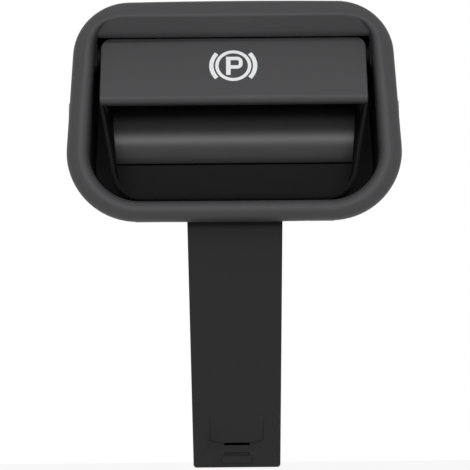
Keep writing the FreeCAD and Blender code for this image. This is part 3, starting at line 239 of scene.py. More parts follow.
# Black ABS from a finely polished mould: a clear highlight along the grip roll
smoothAbs = mouldedPlastic("smoothBlackAbs", {
    "dark": "#2C2C2D",
    "light": "#303031",
    "cloudSize": 15 * mm,
    "grainSize": 0.22 * mm,
    "grainStrength": 0.2,
    "grainDepth": 0.008 * mm,
    "roughness": 0.34,
    "glossSpread": 0.03,
    "ior": 1.5,
    "specular": 0.38,
})

# Bare black ABS inside the hood and on its lower panel, duller than the roll. Its colour is set
# darker than the paint and the tongue's polyamide, so it also carries painted shade of the finger
# pocket
bareAbsWithPocketShade = mouldedPlastic("bareAbsWithPocketShade", {
    "dark": "#0D0D0E",
    "light": "#101011",
    "cloudSize": 15 * mm,
    "grainSize": 0.25 * mm,
    "grainStrength": 0.25,
    "grainDepth": 0.01 * mm,
    "roughness": 0.62,
    "glossSpread": 0.03,
    "ior": 1.52,
    "specular": 0.1,
})

# Natural white acetal, moulded: waxy, smooth and slightly warm
whiteAcetal = mouldedPlastic("whiteAcetal", {
    "dark": "#DEDCD4",
    "light": "#E8E6DF",
    "cloudSize": 6 * mm,
    "grainSize": 0.25 * mm,
    "grainStrength": 0.2,
    "grainDepth": 0.008 * mm,
    "roughness": 0.38,
    "glossSpread": 0.04,
    "ior": 1.48,
    "specular": 0.5,
})

# Clear polycarbonate from a polished mould: see-through light guides, slightly cool
clearPolycarbonate = mouldedPlastic("clearPolycarbonate", {
    "dark": "#E4EAEE",
    "light": "#EEF3F6",
    "cloudSize": 5 * mm,
    "grainSize": 0.5 * mm,
    "grainStrength": 0.1,
    "grainDepth": 0.005 * mm,
    "roughness": 0.1,
    "glossSpread": 0.03,
    "ior": 1.58,
    "specular": 0.5,
    "transmission": 0.85,
})

# Moulded rubber stop pads: dull and almost black
stopRubber = mouldedPlastic("mouldedRubber", {
    "dark": "#1A1A1A",
    "light": "#212120",
    "cloudSize": 3 * mm,
    "grainSize": 0.3 * mm,
    "grainStrength": 0.5,
    "grainDepth": 0.02 * mm,
    "roughness": 0.8,
    "glossSpread": 0.05,
    "ior": 1.52,
    "specular": 0.3,
})

# Glass-epoxy circuit board under green solder mask: the weave shows faintly
solderMask = mouldedPlastic("greenSolderMask", {
    "dark": "#12452A",
    "light": "#1A5A36",
    "cloudSize": 0.8 * mm,
    "grainSize": 0.4 * mm,
    "grainStrength": 0.3,
    "grainDepth": 0.01 * mm,
    "roughness": 0.3,
    "glossSpread": 0.06,
    "ior": 1.55,
    "specular": 0.5,
})

# Moulded epoxy of the chip and the resistors: matt charcoal
chipEpoxy = mouldedPlastic("chipEpoxy", {
    "dark": "#232325",
    "light": "#2C2C2F",
    "cloudSize": 2 * mm,
    "grainSize": 0.2 * mm,
    "grainStrength": 0.4,
    "grainDepth": 0.01 * mm,
    "roughness": 0.55,
    "glossSpread": 0.06,
    "ior": 1.55,
    "specular": 0.4,
})

# White screen-printed sign, a little glossy, that the lamp shines through
signWhite = mouldedPlastic("signWhite", {
    "dark": "#ECEEEF",
    "light": "#F4F5F6",
    "cloudSize": 4 * mm,
    "grainSize": 0.3 * mm,
    "grainStrength": 0.1,
    "grainDepth": 0.005 * mm,
    "roughness": 0.4,
    "glossSpread": 0.03,
    "ior": 1.5,
    "specular": 0.5,
})

# Ground steel of the pin and the screws: bright, with fine streaks along one way
groundSteel = workedMetal("groundSteel", {
    "dark": "#9A9C9E",
    "light": "#B9BBBD",
    "grainSize": 0.3 * mm,
    "streaks": (0.2, 1.0, 1.0),
    "grainStrength": 0.2,
    "grainDepth": 0.005 * mm,
    "roughness": 0.32,
    "glossSpread": 0.06,
})

# Hardened spring strip and wire, rolled and drawn: a duller grey from tempering
temperedSteel = workedMetal("temperedSpringSteel", {
    "dark": "#6E7073",
    "light": "#8A8C8F",
    "grainSize": 0.3 * mm,
    "streaks": (1.0, 0.25, 1.0),
    "grainStrength": 0.2,
    "grainDepth": 0.005 * mm,
    "roughness": 0.36,
    "glossSpread": 0.06,
})

# Rolled bronze strip under a thin tin flash: still warm in tone, and finely streaked
tinnedBronze = workedMetal("tinnedBronze", {
    "dark": "#C39A62",
    "light": "#D8B580",
    "grainSize": 0.25 * mm,
    "streaks": (1.0, 0.2, 1.0),
    "grainStrength": 0.2,
    "grainDepth": 0.004 * mm,
    "roughness": 0.3,
    "glossSpread": 0.05,
})
print("materials made")


# Pieces that keep their CAD form, with corners as a mould, a press or a grinder leaves them

mouldings = {
    "lever_body": {"finish": smoothAbs, "edge": 0.2 * mm},
    "lever_light_guide": {"finish": clearPolycarbonate, "edge": 0.1 * mm},
    "carrier": {"finish": grainedPolyamide, "edge": 0.1 * mm},
    "switch_housing": {"finish": grainedPolyamide, "edge": 0.2 * mm},
    "rear_cover": {"finish": grainedPolyamide, "edge": 0.18 * mm},
    "housing_light_pipe": {"finish": clearPolycarbonate, "edge": 0.1 * mm},
    "slider_left": {"finish": whiteAcetal, "edge": 0.15 * mm},
    "slider_right": {"finish": whiteAcetal, "edge": 0.15 * mm},
    "pivot_bush_left": {"finish": grainedPolyamide, "edge": 0.08 * mm},
    "pivot_bush_right": {"finish": grainedPolyamide, "edge": 0.08 * mm},
    "pivot_pin": {"finish": groundSteel, "edge": 0.15 * mm},
    "push_stop_buffers": {"finish": stopRubber, "edge": 0.2 * mm},
    "panel_clip_left": {"finish": temperedSteel, "edge": 0.08 * mm},
    "panel_clip_right": {"finish": temperedSteel, "edge": 0.08 * mm},
    "contact_bridge_left": {"finish": tinnedBronze, "edge": 0.05 * mm},
    "contact_bridge_right": {"finish": tinnedBronze, "edge": 0.05 * mm},
    "circuit_board": {"finish": solderMask, "edge": 0.06 * mm},
    "symbol_led": {"finish": whiteAcetal, "edge": 0.06 * mm},
    "board_components": {"finish": chipEpoxy, "edge": 0.06 * mm},
    "terminal_pins": {"finish": tinnedBronze, "edge": 0.08 * mm},
}
smoothAngle = math.radians(34)
flatAngle = math.radians(1)
weldDistance = 0.0005 * mm
edgeSegments = 2


def newPiece(name, mesh, finish, body):
    piece = bpy.data.objects.new(name, mesh)
    bpy.context.scene.collection.objects.link(piece)
    mesh.materials.clear()
    mesh.materials.append(finish)
    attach(piece, body)
    return piece


def smoothFaces(mesh):
    mesh.shade_smooth()
    mesh.set_sharp_from_angle(angle=smoothAngle)


def roundEdges(piece, width):
    bevel = piece.modifiers.new("mouldedEdge", "BEVEL")
    bevel.width = width
    bevel.segments = edgeSegments
    bevel.limit_method = "ANGLE"
    bevel.angle_limit = smoothAngle
    bevel.use_clamp_overlap = False
    bevel.harden_normals = True


def weldedCopy(node, name):
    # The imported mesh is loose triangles: weld them and join those that lie in one plane
    mesh = nodes[node].data.copy()
    mesh.name = name
    shape = bmesh.new()
    shape.from_mesh(mesh)
    bmesh.ops.remove_doubles(shape, verts=shape.verts, dist=weldDistance)
    bmesh.ops.dissolve_limit(shape, angle_limit=flatAngle, verts=shape.verts, edges=shape.edges)
    shape.to_mesh(mesh)
    shape.free()
    return mesh


for node, look in mouldings.items():
    mesh = weldedCopy(node, node + "Moulding")
    smoothFaces(mesh)
    piece = newPiece(node + "Moulding", mesh, look["finish"], bodyOf[node])
    roundEdges(piece, look["edge"])
    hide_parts(node)
print("mouldings dressed:", len(mouldings))


# Lever's hood: painted outside and on its undersides, bare black inside and on the lower panel.
# The bare black is darkened as painted shade of the pocket, and the lighter paint on the
# undersides brightens the roll's top in reflection as painted light

plate = {
    "top": 15.55 * mm,
    "bottom": 1.56 * mm,
    "half": 26.4 * mm,
    "reach": 3.52 * mm,  # how far the bottom edge stands in front of the fascia
    "tilt": math.radians(13.4),
    "packedRoll": 1.3 * mm,
    "roll": 0.5 * mm,
    "packedCorner": 3 * mm,
    "corner": 2 * mm,
    "tolerance": 0.012 * mm,
}
hood = {
    "paintedAbove": 1.5 * mm,
    "middle": -5 * mm,  # height that tells its outside from its inside
    "steep": 0.5,
    "edge": 0.26 * mm,
    "paint": satinPaint,
    "bareShaded": bareAbsWithPocketShade,
}


def plateFront(z):
    # The plate's front face leans back as it rises
    return (z - plate["bottom"]) * math.tan(plate["tilt"]) - plate["reach"]


def rollCentre():
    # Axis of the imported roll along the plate's top edge, as y and z
    tilt = plate["tilt"]
    downPlate = Vector((-math.sin(tilt), -math.cos(tilt)))
    intoPlate = Vector((math.cos(tilt), -math.sin(tilt)))
    aside = plate["packedRoll"] / math.tan(math.radians(45) + tilt / 2)
    edge = Vector((plateFront(plate["top"]), plate["top"]))
    return edge + downPlate * aside + intoPlate * plate["packedRoll"]


def tightenPlate(mesh):
    # The roll along the plate's top edge and its two upper corners are drawn in to smaller radii
    top = plate["top"]
    half = plate["half"]
    centre = rollCentre()
    rollShare = plate["roll"] / plate["packedRoll"]
    cornerShare = plate["corner"] / plate["packedCorner"]
    cornerX = half - plate["packedCorner"]
    cornerZ = top - plate["packedCorner"]
    for vertex in mesh.vertices:
        x, y, z = vertex.co
        cornerGap = abs(math.hypot(abs(x) - cornerX, z - cornerZ) - plate["packedCorner"])
        onCorner = abs(x) > cornerX and z > cornerZ and cornerGap < plate["tolerance"]
        rollGap = abs(math.hypot(y - centre.x, z - centre.y) - plate["packedRoll"])
        high = z > centre.y - plate["packedRoll"] / 2
        onRoll = high and y < centre.x and rollGap < plate["tolerance"]
        if onRoll:
            front = plateFront(top)
            vertex.co.y = front + (y - front) * rollShare
            vertex.co.z = top - (top - z) * rollShare
            if onCorner:
                rise = vertex.co.z - (top - plate["corner"])
                out = math.sqrt(max(0, plate["corner"] ** 2 - rise ** 2))
                vertex.co.x = math.copysign(half - plate["corner"] + out, x)
        elif onCorner:
            vertex.co.x = math.copysign(half - (half - abs(x)) * cornerShare, x)
            vertex.co.z = top - (top - z) * cornerShare
            if y - plateFront(z) < plate["tolerance"]:
                vertex.co.y = plateFront(vertex.co.z)


def isBareShadedFace(face):
    # Faces of the finger pocket and the lower panel that look inwards or forwards, not down, get
    # the darker bare black as painted shade. Downward faces keep the lighter paint, which the
    # roll's top reflects as painted light
    middle = Vector((0, 0, hood["middle"]))
    sideways = abs(face.normal.y) < hood["steep"]
    outside = sideways and face.normal.dot(face.center - middle) > 0
    below = face.center.z < hood["paintedAbove"]
    return below and not outside and face.normal.z > -hood["steep"]


def makeHood():
    mesh = weldedCopy("lever_cap", "hoodMoulding")
    tightenPlate(mesh)
    smoothFaces(mesh)
    piece = newPiece("hoodMoulding", mesh, hood["paint"],
                     bodyOf["lever_cap"])
    # Painted shade: the pocket's faces take the darker bare black, while the undersides stay in
    # the lighter paint that the roll reflects
    mesh.materials.append(hood["bareShaded"])
    for face in mesh.polygons:
        if isBareShadedFace(face):
            face.material_index = 1
    roundEdges(piece, hood["edge"])
    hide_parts("lever_cap")


makeHood()
print("hood painted")


# Bezel: one closed ring lofted from its outer edge over the lip into the recess

bezel = {
    "rise": 22.7 * mm,
    "drop": 21.6 * mm,
    "half": 32.55 * mm,
    "lean": math.radians(3.4),
    "topRadius": 11 * mm,
    "bottomRadius": 13.7 * mm,
    "lipRise": 19.1 * mm,
    "lipDrop": 17.8 * mm,
    "lipHalf": 28.25 * mm,
    "lipLean": math.radians(2.75),
    "lipTopRadius": 5.5 * mm,
    "lipBottomRadius": 10 * mm,
    "rimHeight": 2.5 * mm,
    "rimRoundTop": 1.8 * mm,
    "rimRoundBottom": 2.8 * mm,
    "slope": 2.3 / 4.4,  # how much the front rises from rim to lip
    "lipRoundTop": 1.0 * mm,
    "lipRoundBottom": 2.1 * mm,
    "lipInsetBottom": 0.75 * mm,
    "ledgeLipRound": 0.6 * mm,
    "ledgeFront": 4.382 * mm,
    "browFront": 1.4 * mm,
    "browHeight": 15.9 * mm,
    "browReach": 0.9 * mm,
    "ledgeLow": 15.6 * mm,
    "ledgeBack": 0.5 * mm,
    "ledgeRelief": 0.48 * mm,
    "wallEnd": 0.8 * mm,
    "edgeReach": 0.1 * mm,
    "pastLip": 1.05,  # the wall's first row, in reaches of the lip's round
    "crown": 0.4 * mm,
    "lipCrown": 0.12 * mm,
    "cornerSteps": 20,
    "sideSteps": 16,
    "roundSteps": 8,
    "wallSteps": 3,
    "finish": satinPaint,
}


def leaningOutline(rise, drop, half, lean, topRadius, bottomRadius):
    # A rounded frame whose sides lean outward going down, as points in x and z
    topHalf = half - rise * math.tan(lean)
    bottomHalf = half + drop * math.tan(lean)
    corners = [
        (Vector((topHalf, rise)), topRadius),
        (Vector((bottomHalf, -drop)), bottomRadius),
        (Vector((-bottomHalf, -drop)), bottomRadius),
        (Vector((-topHalf, rise)), topRadius),
    ]
    points = []
    arcs = []
    for i, (corner, radius) in enumerate(corners):
        before = (corners[i - 1][0] - corner).normalized()
        after = (corners[(i + 1) % 4][0] - corner).normalized()
        inside = (before + after).normalized()
        halfAngle = before.angle(after) / 2
        centre = corner + inside * (radius / math.sin(halfAngle))
        start = corner + before * (radius / math.tan(halfAngle)) - centre
        sweep = math.pi - 2 * halfAngle
        arc = []
        for step in range(bezel["cornerSteps"] + 1):
            angle = -sweep * step / bezel["cornerSteps"]
            arc.append(centre + Matrix.Rotation(angle, 2) @ start)
        arcs.append(arc)
    for i, arc in enumerate(arcs):
        points += arc
        following = arcs[(i + 1) % 4][0]
        for step in range(1, bezel["sideSteps"]):
            points.append(arc[-1].lerp(following, step / bezel["sideSteps"]))
    return points


def crowned(point, crown):
    # The top and bottom edges bulge a little at the middle
    share = (point.x / bezel["half"]) ** 2
    height = bezel["rise"] if point.y > 0 else bezel["drop"]
    return Vector((point.x, point.y * (1 - crown * share / height)))


def pointAlong(path, distance):
    # The point this far along an open path
    for here, there in zip(path, path[1:]):
        length = (there - here).length
        if distance <= length and length > 0:
            return here.lerp(there, distance / length)
        distance -= length
    return path[-1].copy()


def roundedCorner(start, corner, end):
    # An arc as a rational quadratic, weighted by the cosine of half its turn
    turn = math.pi - (start - corner).angle(end - corner)
    weight = math.cos(turn / 2)
    points = []
    for step in range(bezel["roundSteps"] + 1):
        t = step / bezel["roundSteps"]
        a = (1 - t) ** 2
        b = 2 * t * (1 - t) * weight
        c = t ** 2
        points.append((start * a + corner * b + end * c) / (a + b + c))
    return points


def mixed(low, high, share):
    return low + (high - low) * min(1, max(0, share))


def ledgeShare(lip):
    # 0 at the top lip's height, 1 at the brow's and more below it
    return (bezel["lipRise"] - lip.y) / (bezel["lipRise"] - bezel["browHeight"])


def recessPath(crest, lip):
    # From the lip's crest along the recess to the back. Under the top lip comes a ledge:
    # a steep face, a soft brow and an underside. Lower down the wall runs straight back.
    under = ledgeShare(lip)
    if under < 1:
        meet = mixed(-bezel["ledgeFront"], -bezel["browFront"], under)
        brow = Vector((lip.x, -bezel["browFront"], bezel["browHeight"]))
    else:
        turnBack = (bezel["browHeight"] - lip.y) / (bezel["browHeight"] - bezel["ledgeLow"])
        edge = mixed(-bezel["browFront"], -bezel["wallEnd"], turnBack)
        brow = Vector((lip.x, edge, lip.y))
        meet = edge - (bezel["wallEnd"] - bezel["ledgeBack"])
    low = min(lip.y, bezel["ledgeLow"])
    relief = bezel["ledgeRelief"] if lip.y > bezel["ledgeLow"] else 0
    return [
        crest,
        Vector((lip.x, max(meet, crest.y), lip.y)),
        brow,
        Vector((lip.x, -bezel["ledgeBack"], low)),
        Vector((lip.x, 0, low + relief)),
    ]


def stationProfile(outer, lip):
    # Section of the ring from its back edge over the rim and lip into the recess, then back
    across = lip - outer
    down = (bezel["rise"] - outer.y) / (bezel["rise"] + bezel["drop"])
    inset = across.normalized() * mixed(0, bezel["lipInsetBottom"], 2 * down - 1)
    front = bezel["rimHeight"] + bezel["slope"] * (across + inset).length
    back = Vector((outer.x, 0, outer.y))
    rim = Vector((outer.x, -bezel["rimHeight"], outer.y))
    crest = Vector((lip.x + inset.x, -front, lip.y + inset.y))
    path = recessPath(crest, lip)

    # The rim's round grows from the top of the bezel to its bottom
    slopeWay = (crest - rim).normalized()
    rimTurn = math.radians(90) - math.atan(bezel["slope"])
    rimRound = mixed(bezel["rimRoundTop"], bezel["rimRoundBottom"], down)
    rimReach = rimRound * math.tan(rimTurn / 2)
    points = [back]
    points += roundedCorner(rim + Vector((0, rimReach, 0)), rim, rim + slopeWay * rimReach)

    # So does the lip's, except over the ledge, where it is small
    eased = mixed(0, 1, ledgeShare(lip))
    eased = eased * eased * (3 - 2 * eased)
    lipTurn = math.radians(90) + math.atan(bezel["slope"])
    lipRound = mixed(bezel["lipRoundTop"], bezel["lipRoundBottom"], down)
    lipReach = mixed(bezel["ledgeLipRound"], lipRound * math.tan(lipTurn / 2), eased)
    points += roundedCorner(crest - slopeWay * lipReach, crest, pointAlong(path, lipReach))

    meetAt = (path[1] - path[0]).length
    browAt = meetAt + (path[2] - path[1]).length
    edgeAt = browAt + (path[3] - path[2]).length
    browReach = mixed(bezel["browReach"], bezel["edgeReach"], eased)
    browStart = browAt - browReach
    browEnd = browAt + browReach
    begin = min(max(meetAt, lipReach * bezel["pastLip"]), browStart - bezel["edgeReach"])
    for step in range(bezel["wallSteps"]):
        share = step / bezel["wallSteps"]
        points.append(pointAlong(path, begin + (browStart - begin) * share))
    points += roundedCorner(pointAlong(path, browStart), path[2], pointAlong(path, browEnd))
    points += roundedCorner(pointAlong(path, edgeAt - bezel["edgeReach"]), path[3],
                            pointAlong(path, edgeAt + bezel["edgeReach"]))
    points.append(path[4])
    return points


def bezelStations():
    outer = leaningOutline(bezel["rise"], bezel["drop"], bezel["half"], bezel["lean"],
                           bezel["topRadius"], bezel["bottomRadius"])
    lip = leaningOutline(bezel["lipRise"], bezel["lipDrop"], bezel["lipHalf"], bezel["lipLean"],
                         bezel["lipTopRadius"], bezel["lipBottomRadius"])
    return [(crowned(a, bezel["crown"]), crowned(b, bezel["lipCrown"]))
            for a, b in zip(outer, lip)]


def makeBezel():
    shape = bmesh.new()
    rings = []
    for outer, lip in bezelStations():
        rings.append([shape.verts.new(point) for point in stationProfile(outer, lip)])
    count = len(rings[0])
    for i, ring in enumerate(rings):
        following = rings[(i + 1) % len(rings)]
        for k in range(count):
            after = (k + 1) % count
            shape.faces.new((ring[k], following[k], following[after], ring[after]))
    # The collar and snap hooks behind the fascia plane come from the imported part
    back = bmesh.new()
    back.from_mesh(weldedCopy("bezel", "bezelBack"))
    everything = list(back.verts) + list(back.edges) + list(back.faces)
    bmesh.ops.bisect_plane(back, geom=everything, plane_co=(0, 0, 0), plane_no=(0, -1, 0),
                           clear_outer=True, clear_inner=False)
    openEdges = [edge for edge in back.edges if edge.is_boundary]
    bmesh.ops.triangle_fill(back, use_beauty=True, edges=openEdges)
    backMesh = bpy.data.meshes.new("bezelBack")
    back.to_mesh(backMesh)
    back.free()
    shape.from_mesh(backMesh)
    bmesh.ops.recalc_face_normals(shape, faces=shape.faces)
    mesh = bpy.data.meshes.new("bezelRing")
    shape.to_mesh(mesh)
    shape.free()
    smoothFaces(mesh)
    piece = newPiece("bezelRing", mesh, bezel["finish"], bodyOf["bezel"])
    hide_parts("bezel")


makeBezel()
print("bezel lofted")


# Parking brake sign on the lever's plate: a ring, two brackets and a letter, printed

sign = {
    "centreHeight": 9.45 * mm,
    "centreAcross": -0.05 * mm,
    "stand": 0.03 * mm,
    "sink": 0.05 * mm,
    "squeeze": 0.95,
    "ringRadius": 3.24 * mm,
    "ringStroke": 0.68 * mm,
    "bracketRadius": 4.34 * mm,
    "bracketStroke": 0.86 * mm,
    "bracketHalfAngle": math.radians(41),
    "letterLeft": -1.43 * mm,
    "letterRight": 1.86 * mm,
    "letterTop": 1.98 * mm,
    "letterBottom": -2.05 * mm,
    "bowlBottom": -0.68 * mm,
    "stemWidth": 0.9 * mm,
    "bowlStroke": 0.76 * mm,
    "bowlRound": 1.1 * mm,
    "innerRound": 0.2 * mm,
    "ringSteps": 48,
    "bracketSteps": 16,
    "bowlSteps": 8,
    "finish": signWhite,
}


def arcBand(radius, stroke, start, end, steps):
    # A band along an arc as one list of outer points and one of inner points
    outer = []
    inner = []
    for step in range(steps + 1):
        angle = start + (end - start) * step / steps
        aim = Vector((math.cos(angle), math.sin(angle) * sign["squeeze"]))
        outer.append(aim * (radius + stroke / 2))
        inner.append(aim * (radius - stroke / 2))
    return outer, inner


def cornerArc(x, z, radius, start):
    # A quarter turn, clockwise
    points = []
    for step in range(sign["bowlSteps"] + 1):
        angle = start - math.pi / 2 * step / sign["bowlSteps"]
        points.append(Vector((x + radius * math.cos(angle), z + radius * math.sin(angle))))
    return points


def letterBand():
    # Outer and inner lines of the bowl, both from the stem's top right round to the stem
    top = sign["letterTop"]
    right = sign["letterRight"]
    low = sign["bowlBottom"]
    stem = sign["letterLeft"] + sign["stemWidth"]
    stroke = sign["bowlStroke"]
    radius = sign["bowlRound"]
    small = max(radius - stroke, sign["innerRound"])
    outer = [Vector((stem, top))]
    outer += cornerArc(right - radius, top - radius, radius, math.pi / 2)
    outer += cornerArc(right - radius, low + radius, radius, 0)
    outer.append(Vector((stem, low)))
    inner = [Vector((stem, top - stroke))]
    inner += cornerArc(right - stroke - small, top - stroke - small, small, math.pi / 2)
    inner += cornerArc(right - stroke - small, low + stroke + small, small, 0)
    inner.append(Vector((stem, low + stroke)))
    return outer, inner


def onPlate(point, stand):
    # A point of the sign, drawn flat, set on the leaning plate
    tilt = plate["tilt"]
    height = sign["centreHeight"]
    middle = Vector((sign["centreAcross"], plateFront(height), height))
    up = Vector((0, math.sin(tilt), math.cos(tilt)))
    out = Vector((0, -math.cos(tilt), math.sin(tilt)))
    return middle + Vector((point.x, 0, 0)) + up * point.y + out * stand


def addBand(shape, outer, inner, closed):
    # A thin raised band between two lines of equal count
    rows = []
    for far, near in zip(outer, inner):
        corners = (
            onPlate(far, sign["stand"]),
            onPlate(near, sign["stand"]),
            onPlate(near, -sign["sink"]),
            onPlate(far, -sign["sink"]),
        )
        rows.append([shape.verts.new(corner) for corner in corners])
    spans = len(rows) if closed else len(rows) - 1
    for i in range(spans):
        row = rows[i]
        following = rows[(i + 1) % len(rows)]
        for k in range(4):
            after = (k + 1) % 4
            shape.faces.new((row[k], row[after], following[after], following[k]))
    if not closed:
        shape.faces.new(rows[0])
        shape.faces.new(list(reversed(rows[-1])))


def makeSign():
    shape = bmesh.new()
    outer, inner = arcBand(sign["ringRadius"], sign["ringStroke"], 0, 2 * math.pi,
                           sign["ringSteps"])
    addBand(shape, outer[:-1], inner[:-1], True)
    half = sign["bracketHalfAngle"]
    for middle in (0, math.pi):
        outer, inner = arcBand(sign["bracketRadius"], sign["bracketStroke"],
                               middle - half, middle + half, sign["bracketSteps"])
        addBand(shape, outer, inner, False)
    outer, inner = letterBand()
    addBand(shape, outer, inner, False)
    left = sign["letterLeft"]
    stem = left + sign["stemWidth"]
    addBand(shape,
            [Vector((left, sign["letterBottom"])), Vector((left, sign["letterTop"]))],
            [Vector((stem, sign["letterBottom"])), Vector((stem, sign["letterTop"]))], False)
    bmesh.ops.recalc_face_normals(shape, faces=shape.faces)
    mesh = bpy.data.meshes.new("brakeSign")
    shape.to_mesh(mesh)
    shape.free()
    newPiece("brakeSign", mesh, sign["finish"], "lever")


makeSign()
print("brake sign printed")


# Geometry node trees: named inputs in, a plain mesh out

def groupInput(tree, name, kind, value):
    socket = tree.interface.new_socket(name=name, in_out="INPUT", socket_type=kind)
    socket.default_value = value
    return socket.identifier


def startTree(name):
    # A start shape goes in, and the finished shape comes out
    tree = bpy.data.node_groups.new(name, "GeometryNodeTree")
    for way in ("OUTPUT", "INPUT"):
        tree.interface.new_socket(name="Geometry", in_out=way, socket_type="NodeSocketGeometry")
    return tree


def endTree(tree, shape, finish):
    # The export drops instances, so they are made real before the finish goes on
    real = addNode(tree, "GeometryNodeRealizeInstances", {}, {"Geometry": shape})
    painted = addNode(tree, "GeometryNodeSetMaterial", {}, {
        "Geometry": real.outputs["Geometry"],
        "Material": finish,
    })
    addNode(tree, "NodeGroupOutput", {}, {"Geometry": painted.outputs["Geometry"]})


def bakeTree(name, tree, values, finish, body, start=None):
    # Runs a tree on a start mesh, or on an empty one, and keeps the result as a plain mesh
    seedMesh = start or bpy.data.meshes.new(name + "Seed")
    seed = bpy.data.objects.new(name + "Seed", seedMesh)
    bpy.context.scene.collection.objects.link(seed)
    modifier = seed.modifiers.new("build", "NODES")
    modifier.node_group = tree
    for identifier, value in values.items():
        modifier[identifier] = value
    bpy.context.view_layer.update()
    graph = bpy.context.evaluated_depsgraph_get()
    mesh = bpy.data.meshes.new_from_object(seed.evaluated_get(graph))
    mesh.name = name
    bpy.data.objects.remove(seed)
    smoothFaces(mesh)
    return newPiece(name, mesh, finish, body)


# Return springs: one above the left slider, one below the right slider

springs = {
    "turns": 5.0,
    "meanRadius": 1.5 * mm,
    "wireRadius": 0.2 * mm,
    "across": 12 * mm,
    "depth": 20 * mm,
    "left": {"low": 15.9 * mm, "high": 21.95 * mm, "anchor": 22 * mm},
    "right": {"low": 2.05 * mm, "high": 9.3 * mm, "anchor": 2 * mm},
    "travel": 3.6 * mm,  # the longer of a slider's two ways from rest
    "stepsPerTurn": 32,
    "wireSides": 10,
    "finish": temperedSteel,
}


def springTree():
    # A round wire along a spiral, with named sizes
    tree = startTree("returnSpring")
    names = {
        "turns": groupInput(tree, "Turns", "NodeSocketFloat", springs["turns"]),
        "radius": groupInput(tree, "Mean radius", "NodeSocketFloat", springs["meanRadius"]),
        "height": groupInput(tree, "Height", "NodeSocketFloat", springs["travel"]),
        "wire": groupInput(tree, "Wire radius", "NodeSocketFloat", springs["wireRadius"]),
        "place": groupInput(tree, "Place", "NodeSocketVector", (0, 0, 0)),
    }
    given = addNode(tree, "NodeGroupInput", {}, {}).outputs
    spiral = addNode(tree, "GeometryNodeCurveSpiral", {}, {
        "Resolution": springs["stepsPerTurn"],
        "Rotations": given["Turns"],
        "Start Radius": given["Mean radius"],
        "End Radius": given["Mean radius"],
        "Height": given["Height"],
    })
    wire = addNode(tree, "GeometryNodeCurvePrimitiveCircle", {"mode": "RADIUS"}, {
        "Resolution": springs["wireSides"],
        "Radius": given["Wire radius"],
    })
    tube = addNode(tree, "GeometryNodeCurveToMesh", {}, {
        "Curve": spiral.outputs["Curve"],
        "Profile Curve": wire.outputs["Curve"],
        "Fill Caps": True,
    })
    placed = addNode(tree, "GeometryNodeTransform", {}, {
        "Geometry": tube.outputs["Mesh"],
        "Translation": given["Place"],
    })
    endTree(tree, placed.outputs["Geometry"], springs["finish"])
    return tree, names


tree, names = springTree()
for side, way in (("left", -1), ("right", 1)):
    spring = springs[side]
    wire = springs["wireRadius"]
    length = spring["high"] - spring["low"]
    piece = bakeTree("returnSpring_" + side, tree, {
        names["turns"]: springs["turns"],
        names["radius"]: springs["meanRadius"],
        names["height"]: length - 2 * wire,
        names["wire"]: wire,
        names["place"]: (way * springs["across"], springs["depth"], spring["low"] + wire),
    }, springs["finish"], "carrier")
    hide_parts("return_spring_" + side)
    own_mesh(piece)
print("springs wound")


# Housing screws: one is turned as a mesh, and geometry nodes set the row

screws = {
    "count": 2,
    "across": 22.5 * mm,
    "height": 7 * mm,
    "headFront": 23.05 * mm,
    "headRadius": 2.3 * mm,
    "headHeight": 1.4 * mm,
    "headBand": 0.4 * mm,
    "headShoulder": 0.12 * mm,
    "headRound": 0.15 * mm,
    "headFlat": 0.5 * mm,
    "underRound": 0.1 * mm,
    "shankRadius": 1.2 * mm,
    "shankLength": 7 * mm,
    "socketRadius": 1.15 * mm,
    "socketDepth": 0.8 * mm,
    "socketChamfer": 0.15 * mm,
    "socketEdge": 0.1 * mm,
    "lobes": 6,
    "lobeDepth": 0.1,
    "threads": 7,
    "threadDepth": 0.12 * mm,
    "threadStart": 2.3 * mm,
    "threadEnd": 0.5 * mm,
    "tipRadius": 0.4 * mm,
    "tipStep": 0.2 * mm,
    "tipHeight": 0.3 * mm,
    "steps": 24,
    "finish": groundSteel,
}


def screwProfile():
    # From the driver socket's floor over the head and down the thread, as radius and height
    head = screws["headHeight"]
    radius = screws["headRadius"]
    socket = screws["socketRadius"]
    shank = screws["shankRadius"]
    points = [
        (socket, head - screws["socketDepth"]),
        (socket, head - screws["socketEdge"]),
        (socket + screws["socketChamfer"], head),
        (radius - screws["headFlat"], head),
        (radius - screws["headRound"], head - screws["headShoulder"]),
        (radius, head - screws["headBand"]),
        (radius, screws["underRound"]),
        (radius - screws["underRound"], 0),
        (shank, 0),
    ]
    length = screws["shankLength"]
    start = screws["threadStart"]
    pitch = (length - start - screws["threadEnd"]) / screws["threads"]
    for turn in range(screws["threads"]):
        top = -start - pitch * turn
        points.append((shank, top))
        points.append((shank - screws["threadDepth"], top - pitch / 2))
    points.append((shank - screws["tipStep"], -length + screws["tipHeight"]))
    points.append((screws["tipRadius"], -length))
    return points


def turnedScrew():
    # One screw about its own axis, its head's underside at the origin
    shape = bmesh.new()
    rings = []
    steps = screws["steps"]
    for index, (radius, height) in enumerate(screwProfile()):
        ring = []
        for step in range(steps):
            angle = 2 * math.pi * step / steps
            out = radius
            if index < 2:  # the socket's wall has six lobes
                out = radius * (1 - screws["lobeDepth"] * math.cos(screws["lobes"] * angle))
            ring.append(shape.verts.new((out * math.cos(angle), height, out * math.sin(angle))))
        rings.append(ring)
    for ring, following in zip(rings, rings[1:]):
        for k in range(steps):
            after = (k + 1) % steps
            shape.faces.new((ring[k], ring[after], following[after], following[k]))
    shape.faces.new(rings[0])
    shape.faces.new(rings[-1])
    bmesh.ops.recalc_face_normals(shape, faces=shape.faces)
    mesh = bpy.data.meshes.new("turnedScrew")
    shape.to_mesh(mesh)
    shape.free()
    return mesh


